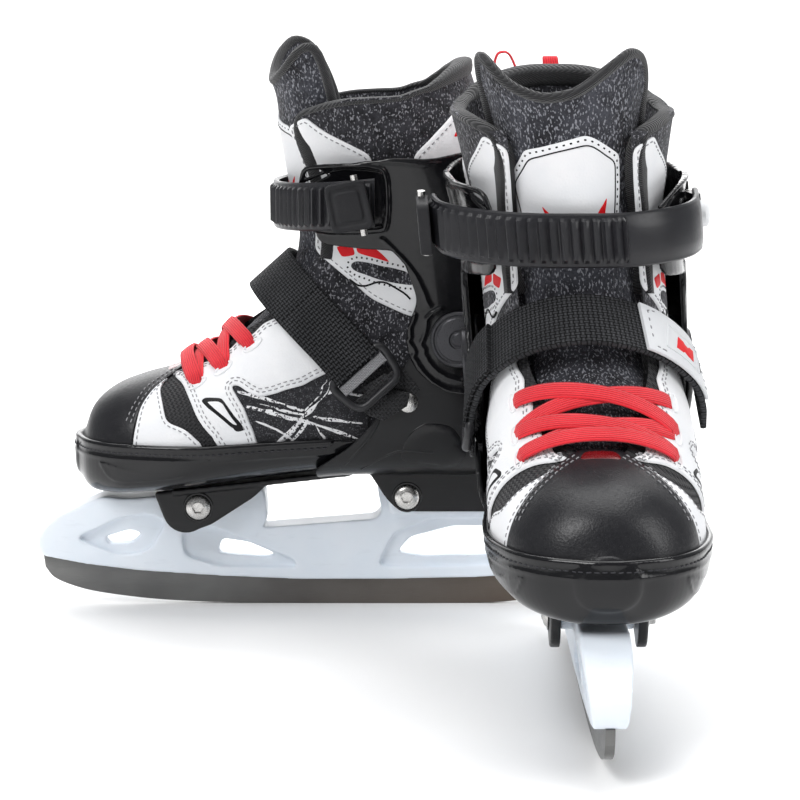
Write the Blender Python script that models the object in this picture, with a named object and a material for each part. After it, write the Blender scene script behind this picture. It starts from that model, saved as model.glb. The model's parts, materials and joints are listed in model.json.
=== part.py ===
"""A pair of children's ice skates with a sliding toe, a hinged cuff and a ratchet strap.

Every piece is modelled once for the right skate, in millimetres, in the skate's own frame:
x runs forward from the cuff's pivot axis, y runs to the inner (medial) side, z runs up from
the ice. The left skate is its mirror image. Two empties stand the skates at right angles.
"""

import math

import bmesh
import bpy
from mathutils import Matrix, Vector

MM = 0.001
GAP = 0.3  # between pieces that touch

# where the two skates stand: pivot axis over the floor, measured from the middle of the pair
RIGHT_PIVOT = (48.7, 127.2)
LEFT_PIVOT = (99.7, 21.2)
RIGHT_TURN = 180.0
LEFT_TURN = -90.0

# boot: one section per row, from the toe round the ankle to the collar
# upper x, upper z, lower x, lower z, half width, widest level (share from below), flatness below
SOLE_X = 66.0
SOLE_Z = 70.0
SOLE_SLOPE = 0.1125
HEEL_SOLE_Z = 72.0
LEAN_FROM = 125.0
LEAN = 0.09
RING_POINTS = 18
BOOT_WALL = 6.0
ANKLE_HALF = 38.0
BOOT_SECTIONS = (
    (175.5, 84.0, 175.5, 67.0, 10.0, 0.45, 2.4),
    (171.0, 96.5, 171.0, 61.0, 22.0, 0.42, 2.8),
    (161.0, 105.5, 161.0, 60.0, 32.0, 0.40, 3.2),
    (147.0, 111.0, 147.0, SOLE_Z - SOLE_SLOPE * (147.0 - SOLE_X), 37.5, 0.38, 3.2),
    (130.0, 116.0, 130.0, SOLE_Z - SOLE_SLOPE * (130.0 - SOLE_X), 41.0, 0.36, 3.2),
    (113.0, 127.5, 110.0, SOLE_Z - SOLE_SLOPE * (110.0 - SOLE_X), 41.5, 0.38, 3.0),
    (100.0, 140.0, 88.0, SOLE_Z - SOLE_SLOPE * (88.0 - SOLE_X), 41.5, 0.42, 2.8),
    (89.5, 151.5, 55.0, SOLE_Z - SOLE_SLOPE * (55.0 - SOLE_X), ANKLE_HALF + 3.5, 0.45, 3.2),
    (82.0, 164.0, 22.0, HEEL_SOLE_Z, ANKLE_HALF + 1.5, 0.50, 4.0),
    (78.5, 178.0, -14.0, HEEL_SOLE_Z, ANKLE_HALF, 0.52, 3.8),
    (79.0, 192.0, -42.0, 88.0, ANKLE_HALF, 0.50, 2.6),
    (83.0, 207.0, -46.5, 122.0, ANKLE_HALF, 0.50, 2.2),
    (86.5, 224.0, -40.0, 168.0, ANKLE_HALF + 0.5, 0.50, 2.2),
    (89.5, 240.0, -22.0, 215.0, ANKLE_HALF + 5.5, 0.50, 2.2),
    (91.0, 256.0, -6.0, 255.0, ANKLE_HALF + 10.0, 0.50, 2.2),
    (92.0, 276.0, 0.0, 290.0, ANKLE_HALF + 10.5, 0.50, 2.2),
)

# layers outwards from the boot's surface: each shell's inner face and its outer face
CUP_LAYER = (0.9, 3.1)
SHELL_LAYER = (4.2, 6.2)
CUFF_LAYER = (7.0, 9.3)

# runner and its holder
RUNNER_HALF = 1.9
RUNNER_TOP = ((197.8, 24.3), (175.0, 19.8), (151.8, 16.9), (110.0, 14.0), (74.9, 12.5),
              (30.0, 12.6), (-11.7, 13.5), (-47.0, 16.5))
RUNNER_BOTTOM = ((-52.0, 9.0), (-44.0, 3.6), (-21.4, 0.7), (7.0, 0.0), (64.0, 0.0), (100.0, 0.3),
                 (123.0, 0.9), (147.2, 2.4), (171.3, 5.6), (184.0, 8.8), (192.8, 12.8), (197.0, 18.0))
TANG_RISE = 6.0
HOLDER_FOOT_HALF = 5.2
HOLDER_TOP_HALF = 9.6
FRONT_BOSS_HALF = 14.8
REAR_BOSS_HALF = 19.5
FRONT_BOLT = (122.0, 50.5)
REAR_BOLT = (23.5, 56.4)
BOLT_RADIUS = 3.0
BOLT_HEAD_RADIUS = 5.9
EAR_THICKNESS = 4.0

# ankle pivot
PIVOT = (0.0, 134.5)
PIVOT_CAP_RADIUS = 13.0
PIVOT_SHANK_RADIUS = 5.0
CUFF_EAR_RADIUS = 24.0
SHELL_EAR_RADIUS = 19.0

# ratchet strap
STRAP_WIDTH = 22.0
STRAP_THICK = 2.8
FORK_HALF = 9.2
FORK_GAP_HALF = 6.8
STRAP_REACH = ANKLE_HALF + 14.0  # from the middle of the boot to the strap's hinge
STRAP_HINGE = (24.0, -STRAP_REACH)
PIN_RADIUS = 1.6
STRAP_SHARES = ((33.0, -1.0), (46.0, -0.973), (60.0, -0.860), (72.0, -0.642), (80.0, -0.346), (83.0, 0.0),
                (81.5, 0.327), (75.5, 0.615), (66.5, 0.854), (56.0, 0.998), (45.0, 1.048), (38.0, 1.058))
STRAP_PATH = tuple((x, STRAP_REACH * share) for x, share in STRAP_SHARES)
STRAP_MID_Z = 194.0
STRAP_RISE = 0.10  # rises towards the heel past the middle of the boot

# instep webbing
WEB_WIDTH = 25.5
WEB_REACH = ANKLE_HALF + 8.5  # from the middle of the boot to the webbing's ends
WEB_SHARES = ((46.0, 1.0, 121.0), (56.0, 0.968, 132.0), (68.0, 0.849, 144.0), (79.5, 0.57, 155.0),
              (86.0, 0.194, 161.0), (86.0, -0.194, 161.0), (79.5, -0.57, 155.0), (68.0, -0.849, 144.0),
              (56.0, -0.968, 132.0), (46.0, -1.0, 121.0))
WEB_PATH = tuple((x, WEB_REACH * share, z) for x, share, z in WEB_SHARES)
WEB_THICK = 2.8

# toe slide lock
BUTTON = (50.0, 76.5)
BUTTON_RADIUS = 4.0
BUTTON_FACE = 48.6
BUTTON_LENGTH = 7.0

# ratchet block's pin, insole and laces
BLOCK_AXIS_AT = (45.0, 197.5)
BLOCK_AXIS = Vector((0.18, 0.0, 0.98)).normalized()
INSOLE_LEVELS = (BOOT_WALL + 4.0, BOOT_WALL + 7.0)
LACE_ROWS = ((121.0, 19.0), (110.0, 21.0), (98.5, 22.0))
LACE_LIFT = 3.2
LACE_FALL = 0.008
LACE_WIDTH = 7.5
LACE_THICK = 1.8
LACE_STEP = 0.37  # each strand lies a little over the one before it


# ---------------------------------------------------------------- shapes
def section_point(section, angle, offset):
    ux, uz, lx, lz, half, widest, flat = section
    upper = Vector((ux, 0.0, uz))
    lower = Vector((lx, 0.0, lz))
    along = (upper - lower).normalized()
    middle = lower.lerp(upper, widest)
    rise = (upper - middle).length + offset
    drop = (middle - lower).length + offset
    c = math.cos(angle)
    s = math.sin(angle)
    power = 2.0 / (2.1 if c > 0 else flat)
    reach = abs(c) ** power * (rise if c > 0 else -drop)
    side = math.copysign(abs(s) ** power, s) * (half + offset)
    point = middle + along * reach
    return Vector((point.x, side, point.z))


def sheared(point):
    """The boot leans to the inner side above the ankle."""
    lean = LEAN * max(0.0, point.z - LEAN_FROM)
    return Vector((point.x, point.y + lean, point.z))


def boot_form(offset):
    """The whole boot as one closed form, grown outwards by the offset."""
    bm = bmesh.new()
    rings = []
    first = BOOT_SECTIONS[0]
    nose = bm.verts.new((first[0] + 3.0 + offset, 0.0, 0.5 * (first[1] + first[3]) - 1.0))
    for section in BOOT_SECTIONS:
        ring = []
        for i in range(RING_POINTS):
            ring.append(bm.verts.new(section_point(section, 2 * math.pi * i / RING_POINTS, offset)))
        rings.append(ring)
    for i in range(RING_POINTS):
        j = (i + 1) % RING_POINTS
        bm.faces.new((nose, rings[0][i], rings[0][j]))
        for a, b in zip(rings, rings[1:]):
            bm.faces.new((a[i], b[i], b[j], a[j]))
    bm.faces.new(rings[-1])
    bmesh.ops.recalc_face_normals(bm, faces=bm.faces)
    return to_object(bm)


def to_object(bm):
    mesh = bpy.data.meshes.new("shape")
    bm.to_mesh(mesh)
    bm.free()
    shape = bpy.data.objects.new("shape", mesh)
    bpy.context.scene.collection.objects.link(shape)
    return shape


def prism(outline, low, high, axis="y"):
    """A closed prism: the outline lies in x and z and runs along y, or in x and y and runs along z."""
    bm = bmesh.new()
    if axis == "y":
        ends = [[bm.verts.new((x, level, z)) for x, z in outline] for level in (low, high)]
    else:
        ends = [[bm.verts.new((x, y, level)) for x, y in outline] for level in (low, high)]
    bm.faces.new(ends[0])
    bm.faces.new(list(reversed(ends[1])))
    count = len(outline)
    for i in range(count):
        j = (i + 1) % count
        bm.faces.new((ends[0][j], ends[0][i], ends[1][i], ends[1][j]))
    bmesh.ops.recalc_face_normals(bm, faces=bm.faces)
    return to_object(bm)


def arc(centre, radius, start, end, count):
    points = []
    for i in range(count):
        angle = math.radians(start + (end - start) * i / (count - 1))
        points.append((centre[0] + radius * math.cos(angle), centre[1] + radius * math.sin(angle)))
    return points


def rod(centre, radius, low, high, count=16):
    """A round bar along y through (x, z)."""
    return prism(arc(centre, radius, 0.0, 360.0 - 360.0 / count, count), low, high)


def combine(target, other, operation):
    """Joins, cuts or keeps the common part, and removes the other shape."""
    modifier = target.modifiers.new("boolean", "BOOLEAN")
    modifier.operation = operation
    modifier.solver = "MANIFOLD"
    modifier.object = other
    evaluated = target.evaluated_get(bpy.context.evaluated_depsgraph_get())
    mesh = bpy.data.meshes.new_from_object(evaluated)
    target.modifiers.clear()
    target.data = mesh
    bpy.data.objects.remove(other)
    return target


def cut(target, other):
    return combine(target, other, "DIFFERENCE")


def join(target, other):
    return combine(target, other, "UNION")


def keep(target, other):
    return combine(target, other, "INTERSECT")


def layer(inner, outer):
    return cut(boot_form(outer), boot_form(inner))


def smooth_path(points, steps):
    """A Catmull-Rom curve through the points."""
    chain = [2 * Vector(points[0]) - Vector(points[1])]
    chain += [Vector(p) for p in points]
    chain.append(2 * Vector(points[-1]) - Vector(points[-2]))
    path = []
    for a, b, c, d in zip(chain, chain[1:], chain[2:], chain[3:]):
        for i in range(steps):
            t = i / steps
            path.append(0.5 * (2 * b + (c - a) * t + (2 * a - 5 * b + 4 * c - d) * t * t
                               + (3 * b - a - 3 * c + d) * t ** 3))
    path.append(Vector(points[-1]))
    return path


def band(path, widths, outs, width, thick):
    """A flat band: at each point a direction across the band and one out of it."""
    bm = bmesh.new()
    rings = []
    for point, across, out in zip(path, widths, outs):
        half = across.normalized() * width / 2
        lift = out.normalized() * thick
        corners = (point - half, point + half, point + half + lift, point - half + lift)
        rings.append([bm.verts.new(corner) for corner in corners])
    for a, b in zip(rings, rings[1:]):
        for i in range(4):
            j = (i + 1) % 4
            bm.faces.new((a[i], b[i], b[j], a[j]))
    bm.faces.new(rings[0])
    bm.faces.new(list(reversed(rings[-1])))
    bmesh.ops.recalc_face_normals(bm, faces=bm.faces)
    return to_object(bm)


# ---------------------------------------------------------------- runner and holder
def runner_outline(grow=0.0):
    top = [(x, z + TANG_RISE + grow) for x, z in RUNNER_TOP[1:-1]]
    neck = [(RUNNER_TOP[0][0] + grow, RUNNER_TOP[0][1] + grow)]
    heel = [(RUNNER_TOP[-1][0] - grow, RUNNER_TOP[-1][1] + grow)]
    return neck + top + heel + list(RUNNER_BOTTOM)


def runner():
    return prism(runner_outline(), -RUNNER_HALF, RUNNER_HALF)


def holder_outline():
    foot = list(RUNNER_TOP)
    rear = [(-50.0, 24.0), (-42.0, 42.0), (-36.0, 64.0)]
    rear_pillar = [(30.0, 64.5), (38.0, 60.0)]
    window = arc((41.5, 48.5), 6.0, 190.0, 262.0, 4) + arc((96.0, 44.0), 6.0, 250.0, 180.0, 4)
    front = [(91.0, 58.0), (158.0, 52.5), (168.0, 54.0), (190.0, 44.0), (199.0, 35.0), (199.6, 29.0)]
    return foot, rear + rear_pillar + window + front


def blade_holder():
    foot, rest = holder_outline()
    shape = prism(foot + rest, -1.0, 1.0)
    for vertex in shape.data.vertices:
        share = min(1.0, max(0.0, (vertex.co.z - 14.0) / 34.0))
        vertex.co.y *= HOLDER_FOOT_HALF + (HOLDER_TOP_HALF - HOLDER_FOOT_HALF) * share
    shape = join(shape, rod(FRONT_BOLT, 6.7, -FRONT_BOSS_HALF, FRONT_BOSS_HALF))
    rear_block = [(-34.0, 46.0), (32.0, 46.0), (32.0, 63.5), (-34.0, 63.5)]
    shape = join(shape, prism(rear_block, -REAR_BOSS_HALF, REAR_BOSS_HALF))
    slot = prism(runner_outline(GAP), -RUNNER_HALF - GAP, RUNNER_HALF + GAP)
    shape = cut(shape, slot)
    for centre in (FRONT_BOLT, REAR_BOLT):
        shape = cut(shape, rod(centre, BOLT_RADIUS + GAP, -40.0, 40.0, 12))
    return shape


def bolt(centre, reach):
    """Button head on the inner side, shank through to the nut."""
    shape = rod(centre, BOLT_HEAD_RADIUS, reach + GAP, reach + GAP + 2.6)
    return join(shape, rod(centre, BOLT_RADIUS, -reach - 1.5, reach + 1.5, 12))


def nut(centre, reach):
    shape = rod(centre, BOLT_HEAD_RADIUS, -reach - GAP - 4.0, -reach - GAP)
    return cut(shape, rod(centre, BOLT_RADIUS + GAP, -reach - 1.5 - GAP, 0.0, 12))


# ---------------------------------------------------------------- hard shells
def base_shell():
    side = [(-70.0, 60.0), (64.5, 60.0), (66.5, 71.8), (49.8, 84.0), (40.0, 94.0), (33.2, 106.8),
            (27.5, 118.0)]
    side += arc(PIVOT, SHELL_EAR_RADIUS, -10.0, 200.0, 9)
    side += [(-26.0, 122.0), (-70.0, 121.0)]
    shape = keep(layer(*SHELL_LAYER), prism(side, -70.0, 70.0))
    plate = [(x, SOLE_Z - SOLE_SLOPE * (x - SOLE_X) - depth)
             for x, depth in ((50.0, 6.2), (134.0, 6.2), (134.0, 3.8), (50.0, 3.8))]
    shape = join(shape, prism(plate, -20.5, 20.5))
    ear_reach = REAR_BOSS_HALF + GAP
    pedestal = [(-40.0, 72.0), (-42.0, 62.0), (-40.0, 49.3), (26.8, 49.3), (33.0, 55.0), (40.0, 66.0),
                (44.0, 72.0)]
    for side_sign in (1, -1):
        low, high = sorted((side_sign * ear_reach, side_sign * (ear_reach + EAR_THICKNESS)))
        shape = join(shape, prism(pedestal, low, high))
    front_reach = FRONT_BOSS_HALF + GAP
    ear = [(88.0, 62.5), (96.0, 55.0), (116.0, 42.0)] + arc((128.0, 49.0), 11.0, 235.0, 340.0, 5)
    ear += [(143.0, 57.6)]
    for side_sign in (1, -1):
        low, high = sorted((side_sign * front_reach, side_sign * (front_reach + EAR_THICKNESS)))
        shape = join(shape, prism(ear, low, high))
    for centre in (FRONT_BOLT, REAR_BOLT):
        shape = cut(shape, rod(centre, BOLT_RADIUS + GAP, -40.0, 40.0, 12))
    shape = cut(shape, rod(BUTTON, BUTTON_RADIUS + GAP, -60.0, -30.0, 14))
    return cut(shape, rod(PIVOT, PIVOT_SHANK_RADIUS + GAP, -70.0, 70.0, 12))


def toe_cup():
    rear = BUTTON[0] - 4.0
    rim = [(rear, 40.0), (190.0, 40.0), (190.0, 83.5), (119.0, 83.5), (73.0, 86.0), (rear, 86.5)]
    shape = keep(layer(*CUP_LAYER), prism(rim, -70.0, 70.0))
    room = BUTTON_RADIUS + 1.0
    slot = [(rear - 5.0, BUTTON[1] - room), (BUTTON[0] + room, BUTTON[1] - room),
            (BUTTON[0] + room, BUTTON[1] + room), (rear - 5.0, BUTTON[1] + room)]
    return cut(shape, prism(slot, -60.0, -30.0))


def size_button():
    """Pressed in to free the toe slide: a plain pin through the shell's wall."""
    return rod(BUTTON, BUTTON_RADIUS, -BUTTON_FACE, -BUTTON_FACE + BUTTON_LENGTH, 14)


def cuff():
    side = [(26.8, 175.2), (18.6, 152.3)]
    side += arc(PIVOT, CUFF_EAR_RADIUS, 20.0, -200.0, 11)
    side += [(-34.0, 128.0), (-70.0, 128.0), (-70.0, 224.0), (-20.0, 224.0), (13.2, 217.3),
             (31.3, 218.2), (51.7, 213.8), (71.0, 202.5), (64.0, 177.5), (45.0, 176.0)]
    shape = keep(layer(*CUFF_LAYER), prism(side, -80.0, 80.0))
    return cut(shape, rod(PIVOT, PIVOT_SHANK_RADIUS + GAP, -70.0, 70.0, 12))


def pivot_rivet(sign):
    """A cap over the cuff, and a shank through the cuff and the shell."""
    near = ANKLE_HALF + SHELL_LAYER[0] - 2.0
    cap_from = ANKLE_HALF + CUFF_LAYER[1] + GAP
    cap = sorted((sign * cap_from, sign * (cap_from + 2.4)))
    shank = sorted((sign * near, sign * (cap_from + 1.0)))
    return join(rod(PIVOT, PIVOT_CAP_RADIUS, *cap), rod(PIVOT, PIVOT_SHANK_RADIUS, *shank, 12))


# ---------------------------------------------------------------- boot
def boot_wall():
    rim = [(-70.0, 40.0), (200.0, 40.0), (200.0, 140.0), (120.0, 200.0), (79.4, 231.0), (72.5, 237.0),
           (49.5, 244.0), (26.8, 245.0), (13.2, 249.5), (-1.7, 260.0), (-40.0, 260.0), (-70.0, 260.0)]
    wall = keep(layer(-BOOT_WALL, 0.0), prism(rim, -80.0, 80.0))
    throat = [(131.0, -9.0), (131.0, 9.0), (112.0, 17.0), (88.0, 24.0), (60.0, 26.0), (60.0, -26.0),
              (88.0, -24.0), (112.0, -17.0)]
    return cut(wall, prism(throat, 100.0, 300.0, "z"))


def boot_toe():
    side = [(104.0, 160.0), (92.0 + GAP, 40.0), (200.0, 40.0), (200.0, 160.0)]
    return keep(boot_wall(), prism(side, -80.0, 80.0))


def boot_lower():
    side = [(104.0 - GAP, 160.0), (104.0 - GAP, 177.0), (95.0, 172.0), (0.0, 128.0), (-70.0, 127.0),
            (-70.0, 40.0), (92.0, 40.0)]
    return keep(boot_wall(), prism(side, -80.0, 80.0))


def boot_collar():
    side = [(-70.0, 132.0), (0.0, 132.0), (80.0, 189.0), (110.0, 205.0), (110.0, 300.0), (-70.0, 300.0)]
    return keep(boot_wall(), prism(side, -80.0, 80.0))


def tongue(side, inner=-8.0, outer=-0.5):
    throat = [(129.5, -8.0), (129.5, 8.0), (112.0, 16.2), (88.0, 23.2), (61.0, 25.2), (61.0, -25.2),
              (88.0, -23.2), (112.0, -16.2)]
    shape = keep(layer(inner, outer), prism(throat, 90.0, 300.0, "z"))
    return keep(shape, prism(side, -80.0, 80.0))


def tongue_lower():
    return tongue([(128.0, 100.0), (135.0, 130.0), (100.0, 170.0), (80.0, 163.0), (66.0, 150.0)])


def tongue_upper():
    return tongue([(60.0, 187.0), (95.0, 190.0), (100.0, 267.0), (90.0, 267.0), (60.0, 260.0)])


def insole():
    plan = arc((2.0, 0.0), 17.0, 90.0, 270.0, 6) + [(60.0, -20.0), (110.0, -22.0)]
    plan += arc((130.0, 0.0), 18.0, -75.0, 75.0, 5) + [(110.0, 22.0), (60.0, 20.0)]
    bm = bmesh.new()
    ends = []
    for lift in INSOLE_LEVELS:
        ends.append([bm.verts.new((x, y, sole_height(x) + lift)) for x, y in plan])
    centre = [bm.verts.new((SOLE_X, 0.0, sole_height(SOLE_X) + lift)) for lift in INSOLE_LEVELS]
    count = len(plan)
    for i in range(count):
        j = (i + 1) % count
        bm.faces.new((ends[0][j], ends[0][i], ends[1][i], ends[1][j]))
        for ring, middle in zip(ends, centre):
            bm.faces.new((ring[i], ring[j], middle))
    bmesh.ops.recalc_face_normals(bm, faces=bm.faces)
    return to_object(bm)


def sole_height(x):
    return min(HEEL_SOLE_Z, SOLE_Z - SOLE_SLOPE * (x - SOLE_X)) + 0.4


# ---------------------------------------------------------------- ratchet strap
def strap_height(x):
    return STRAP_MID_Z + STRAP_RISE * max(0.0, 80.0 - x)


def ratchet_strap():
    path = smooth_path([(x, y, strap_height(x)) for x, y in STRAP_PATH], 2)
    ups = [Vector((0.0, 0.0, 1.0))] * len(path)
    outs = []
    for i in range(len(path)):
        run = path[min(i + 1, len(path) - 1)] - path[max(i - 1, 0)]
        outs.append(Vector((run.y, -run.x, 0.0)))
    shape = band(path, ups, outs, STRAP_WIDTH, STRAP_THICK)
    hinge_z = strap_height(STRAP_HINGE[0])
    for low, high in ((FORK_GAP_HALF, FORK_HALF), (-FORK_HALF, -FORK_GAP_HALF)):
        arm = [(STRAP_HINGE[0] - 2.6, STRAP_HINGE[1] - 2.8), (36.0, STRAP_HINGE[1] - 2.8),
               (36.0, STRAP_HINGE[1] - 0.3), (STRAP_HINGE[0] + 1.0, STRAP_HINGE[1] + 2.0),
               (STRAP_HINGE[0] - 2.5, STRAP_HINGE[1] + 1.0)]
        shape = join(shape, prism(arm, hinge_z + low, hinge_z + high, "z"))
    return cut(shape, upright(STRAP_HINGE, PIN_RADIUS + GAP, hinge_z - 20.0, hinge_z + 20.0))


def upright(centre, radius, low, high, count=12):
    return prism(arc(centre, radius, 0.0, 360.0 - 360.0 / count, count), low, high, "z")


def strap_base():
    hinge_z = strap_height(STRAP_HINGE[0])
    hinge_x, hinge_y = STRAP_HINGE
    plan = [(4.0, hinge_y + 2.1), (4.0, hinge_y + 0.8), (12.0, hinge_y - 2.4), (hinge_x + 1.4, hinge_y - 2.4),
            (hinge_x + 3.2, hinge_y + 0.1), (hinge_x + 3.0, hinge_y + 2.4)]
    shape = prism(plan, hinge_z - FORK_GAP_HALF + 2 * GAP, hinge_z + FORK_GAP_HALF - 2 * GAP, "z")
    return cut(shape, upright(STRAP_HINGE, PIN_RADIUS + GAP, hinge_z - 20.0, hinge_z + 20.0))


def strap_pin():
    hinge_z = strap_height(STRAP_HINGE[0])
    return upright(STRAP_HINGE, PIN_RADIUS, hinge_z - FORK_HALF, hinge_z + FORK_HALF)


def strap_base_cap():
    hinge_z = strap_height(STRAP_HINGE[0])
    oval = [(13.0 + 8.0 * math.cos(a), hinge_z + 6.0 * math.sin(a))
            for a in (2 * math.pi * i / 14 for i in range(14))]
    return prism(oval, STRAP_HINGE[1] - 5.4, STRAP_HINGE[1] - 2.9)


def block_face():
    return STRAP_PATH[-1][1] + STRAP_THICK + 1.0


def ratchet_block():
    """The pressed block over the strap's end."""
    near = block_face()
    side = [(37.0, 187.0), (57.0, 184.0), (61.0, 206.0), (42.0, 210.0)]
    shape = prism(side, near, near + 5.0)
    return cut(shape, block_rod(PIN_RADIUS + GAP, 20.0))


def block_rod(radius, reach, count=12):
    """A bar across the block, along its pin."""
    shape = upright((0.0, 0.0), radius, -reach, reach, count)
    turn = Vector((0.0, 0.0, 1.0)).rotation_difference(BLOCK_AXIS).to_matrix().to_4x4()
    place = Matrix.Translation((BLOCK_AXIS_AT[0], block_face() + 2.5, BLOCK_AXIS_AT[1]))
    shape.data.transform(place @ turn)
    return shape


def block_pin():
    return block_rod(PIN_RADIUS, 13.5)


# ---------------------------------------------------------------- instep webbing and laces


def web_frames(path):
    across = []
    outs = []
    for i, point in enumerate(path):
        run = path[min(i + 1, len(path) - 1)] - path[max(i - 1, 0)]
        out = Vector((point.x - 40.0, point.y, point.z - 110.0))
        side = run.cross(out).normalized()
        across.append(side)
        outs.append(side.cross(run).normalized())
    return across, outs


def instep_webbing():
    path = smooth_path(WEB_PATH, 2)
    across, outs = web_frames(path)
    return band(path, across, outs, WEB_WIDTH, WEB_THICK)


def webbing_tab():
    """The stiff pull tab on the webbing's free end, over the outer side of the instep."""
    path = smooth_path(WEB_PATH, 4)
    across, outs = web_frames(path)
    chosen = range(23, 29)
    lifted = [path[i] + outs[i] * (WEB_THICK + GAP) for i in chosen]
    return band(lifted, [across[i] for i in chosen], [outs[i] for i in chosen], WEB_WIDTH - 1.5, 1.6)


def webbing_ring():
    """The flat ring that the webbing turns back through, low on the inner side."""
    path = smooth_path(WEB_PATH, 2)
    across, outs = web_frames(path)
    run = (path[0] - path[1]).normalized()
    outer = [(GAP + 9.5 + 9.0 * math.cos(a), 16.5 * math.sin(a)) for a in rounded_turns(12)]
    inner = [(GAP + 9.5 + 5.0 * math.cos(a), 13.0 * math.sin(a)) for a in rounded_turns(12)]
    shape = cut(prism(outer, 0.0, 3.0), prism(inner, -5.0, 8.0))
    place = Matrix((run, outs[0], -across[0])).transposed().to_4x4()
    place.translation = path[0]
    shape.data.transform(place)
    return shape


def rounded_turns(count):
    return [2 * math.pi * (i + 0.5) / count for i in range(count)]


def lace_point(x, y):
    """A point just over the instep; the ridge line falls forward and the sides fall away."""
    ridge = ((130.0, 116.0), (113.0, 127.5), (100.0, 140.0), (89.5, 151.5))
    for (front_x, front_z), (back_x, back_z) in zip(ridge, ridge[1:]):
        if back_x <= x <= front_x:
            share = (front_x - x) / (front_x - back_x)
            return Vector((x, y, front_z + (back_z - front_z) * share + LACE_LIFT - LACE_FALL * y * y))
    raise ValueError("the lace leaves the instep")


def laces():
    """One flat lace: a bar at the front, then two crossings up the instep."""
    eyelets = {(row, side): lace_point(x, side * y)
               for row, (x, y) in enumerate(LACE_ROWS) for side in (-1, 1)}
    runs = (((0, -1), (0, 1)), ((0, 1), (1, -1)), ((0, -1), (1, 1)), ((1, 1), (2, -1)), ((1, -1), (2, 1)))
    shape = None
    for order, (start, end) in enumerate(runs):
        a = eyelets[start]
        b = eyelets[end]
        x_mid, y_mid = (a.x + b.x) / 2, (a.y + b.y) / 2
        path = [a.lerp(b, -0.06), lace_point(x_mid, y_mid), b.lerp(a, -0.06)]
        out = Vector((0.68, 0.0, 0.73))
        path = [point + out * LACE_STEP * order for point in path]
        side = (b - a).cross(out)
        strand = band(path, [side] * 3, [out] * 3, LACE_WIDTH, LACE_THICK)
        shape = strand if shape is None else join(shape, strand)
    return shape


# ---------------------------------------------------------------- colours and assembly
COLOURS = {
    "steel": ((0.42, 0.42, 0.43), 0.35, 1.0),
    "white": ((0.80, 0.85, 0.92), 0.40, 0.0),
    "black": ((0.012, 0.012, 0.014), 0.30, 0.0),
    "matte": ((0.03, 0.03, 0.033), 0.50, 0.0),
    "cloth": ((0.05, 0.05, 0.055), 0.90, 0.0),
    "felt": ((0.75, 0.75, 0.76), 0.80, 0.0),
    "red": ((0.75, 0.05, 0.07), 0.80, 0.0),
}

PIECES = (
    ("runner", runner, "steel"),
    ("blade_holder", blade_holder, "white"),
    ("base_shell", base_shell, "matte"),
    ("front_bolt", lambda: bolt(FRONT_BOLT, FRONT_BOSS_HALF + GAP + EAR_THICKNESS), "steel"),
    ("front_nut", lambda: nut(FRONT_BOLT, FRONT_BOSS_HALF + GAP + EAR_THICKNESS), "steel"),
    ("rear_bolt", lambda: bolt(REAR_BOLT, REAR_BOSS_HALF + GAP + EAR_THICKNESS), "steel"),
    ("rear_nut", lambda: nut(REAR_BOLT, REAR_BOSS_HALF + GAP + EAR_THICKNESS), "steel"),
    ("toe_cup", toe_cup, "black"),
    ("cuff", cuff, "black"),
    ("inner_pivot", lambda: pivot_rivet(1), "steel"),
    ("outer_pivot", lambda: pivot_rivet(-1), "steel"),
    ("boot_toe", boot_toe, "cloth"),
    ("boot_lower", boot_lower, "felt"),
    ("boot_collar", boot_collar, "felt"),
    ("tongue_lower", tongue_lower, "cloth"),
    ("tongue_upper", tongue_upper, "cloth"),
    ("insole", insole, "cloth"),
    ("ratchet_strap", ratchet_strap, "black"),
    ("strap_base", strap_base, "black"),
    ("strap_pin", strap_pin, "steel"),
    ("strap_base_cap", strap_base_cap, "white"),
    ("ratchet_block", ratchet_block, "black"),
    ("block_pin", block_pin, "steel"),
    ("instep_webbing", instep_webbing, "cloth"),
    ("webbing_ring", webbing_ring, "black"),
    ("webbing_tab", webbing_tab, "white"),
    ("laces", laces, "red"),
    ("size_button", size_button, "matte"),
)


def material(name):
    colour, roughness, metallic = COLOURS[name]
    made = bpy.data.materials.get(name) or bpy.data.materials.new(name)
    made.use_nodes = True
    shader = made.node_tree.nodes["Principled BSDF"]
    shader.inputs["Base Color"].default_value = (*colour, 1.0)
    shader.inputs["Roughness"].default_value = roughness
    shader.inputs["Metallic"].default_value = metallic
    return made


def finished(mesh, mirrored):
    """The piece's mesh in metres, leant, and mirrored for the left skate."""
    bm = bmesh.new()
    bm.from_mesh(mesh)
    for vertex in bm.verts:
        vertex.co = sheared(vertex.co) * MM
        if mirrored:
            vertex.co.y = -vertex.co.y
    bmesh.ops.remove_doubles(bm, verts=bm.verts, dist=0.000002)
    bmesh.ops.dissolve_degenerate(bm, edges=bm.edges, dist=0.000002)
    bmesh.ops.triangulate(bm, faces=bm.faces)
    if mirrored:
        bmesh.ops.reverse_faces(bm, faces=bm.faces)
    made = bpy.data.meshes.new("piece")
    bm.to_mesh(made)
    bm.free()
    made.shade_smooth()
    made.set_sharp_from_angle(angle=math.radians(35.0))
    return made


def stand(name, pivot, turn):
    empty = bpy.data.objects.new(name, None)
    empty.location = (pivot[0] * MM, pivot[1] * MM, 0.0)
    empty.rotation_euler = (0.0, 0.0, math.radians(turn))
    bpy.context.scene.collection.objects.link(empty)
    return empty


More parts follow.
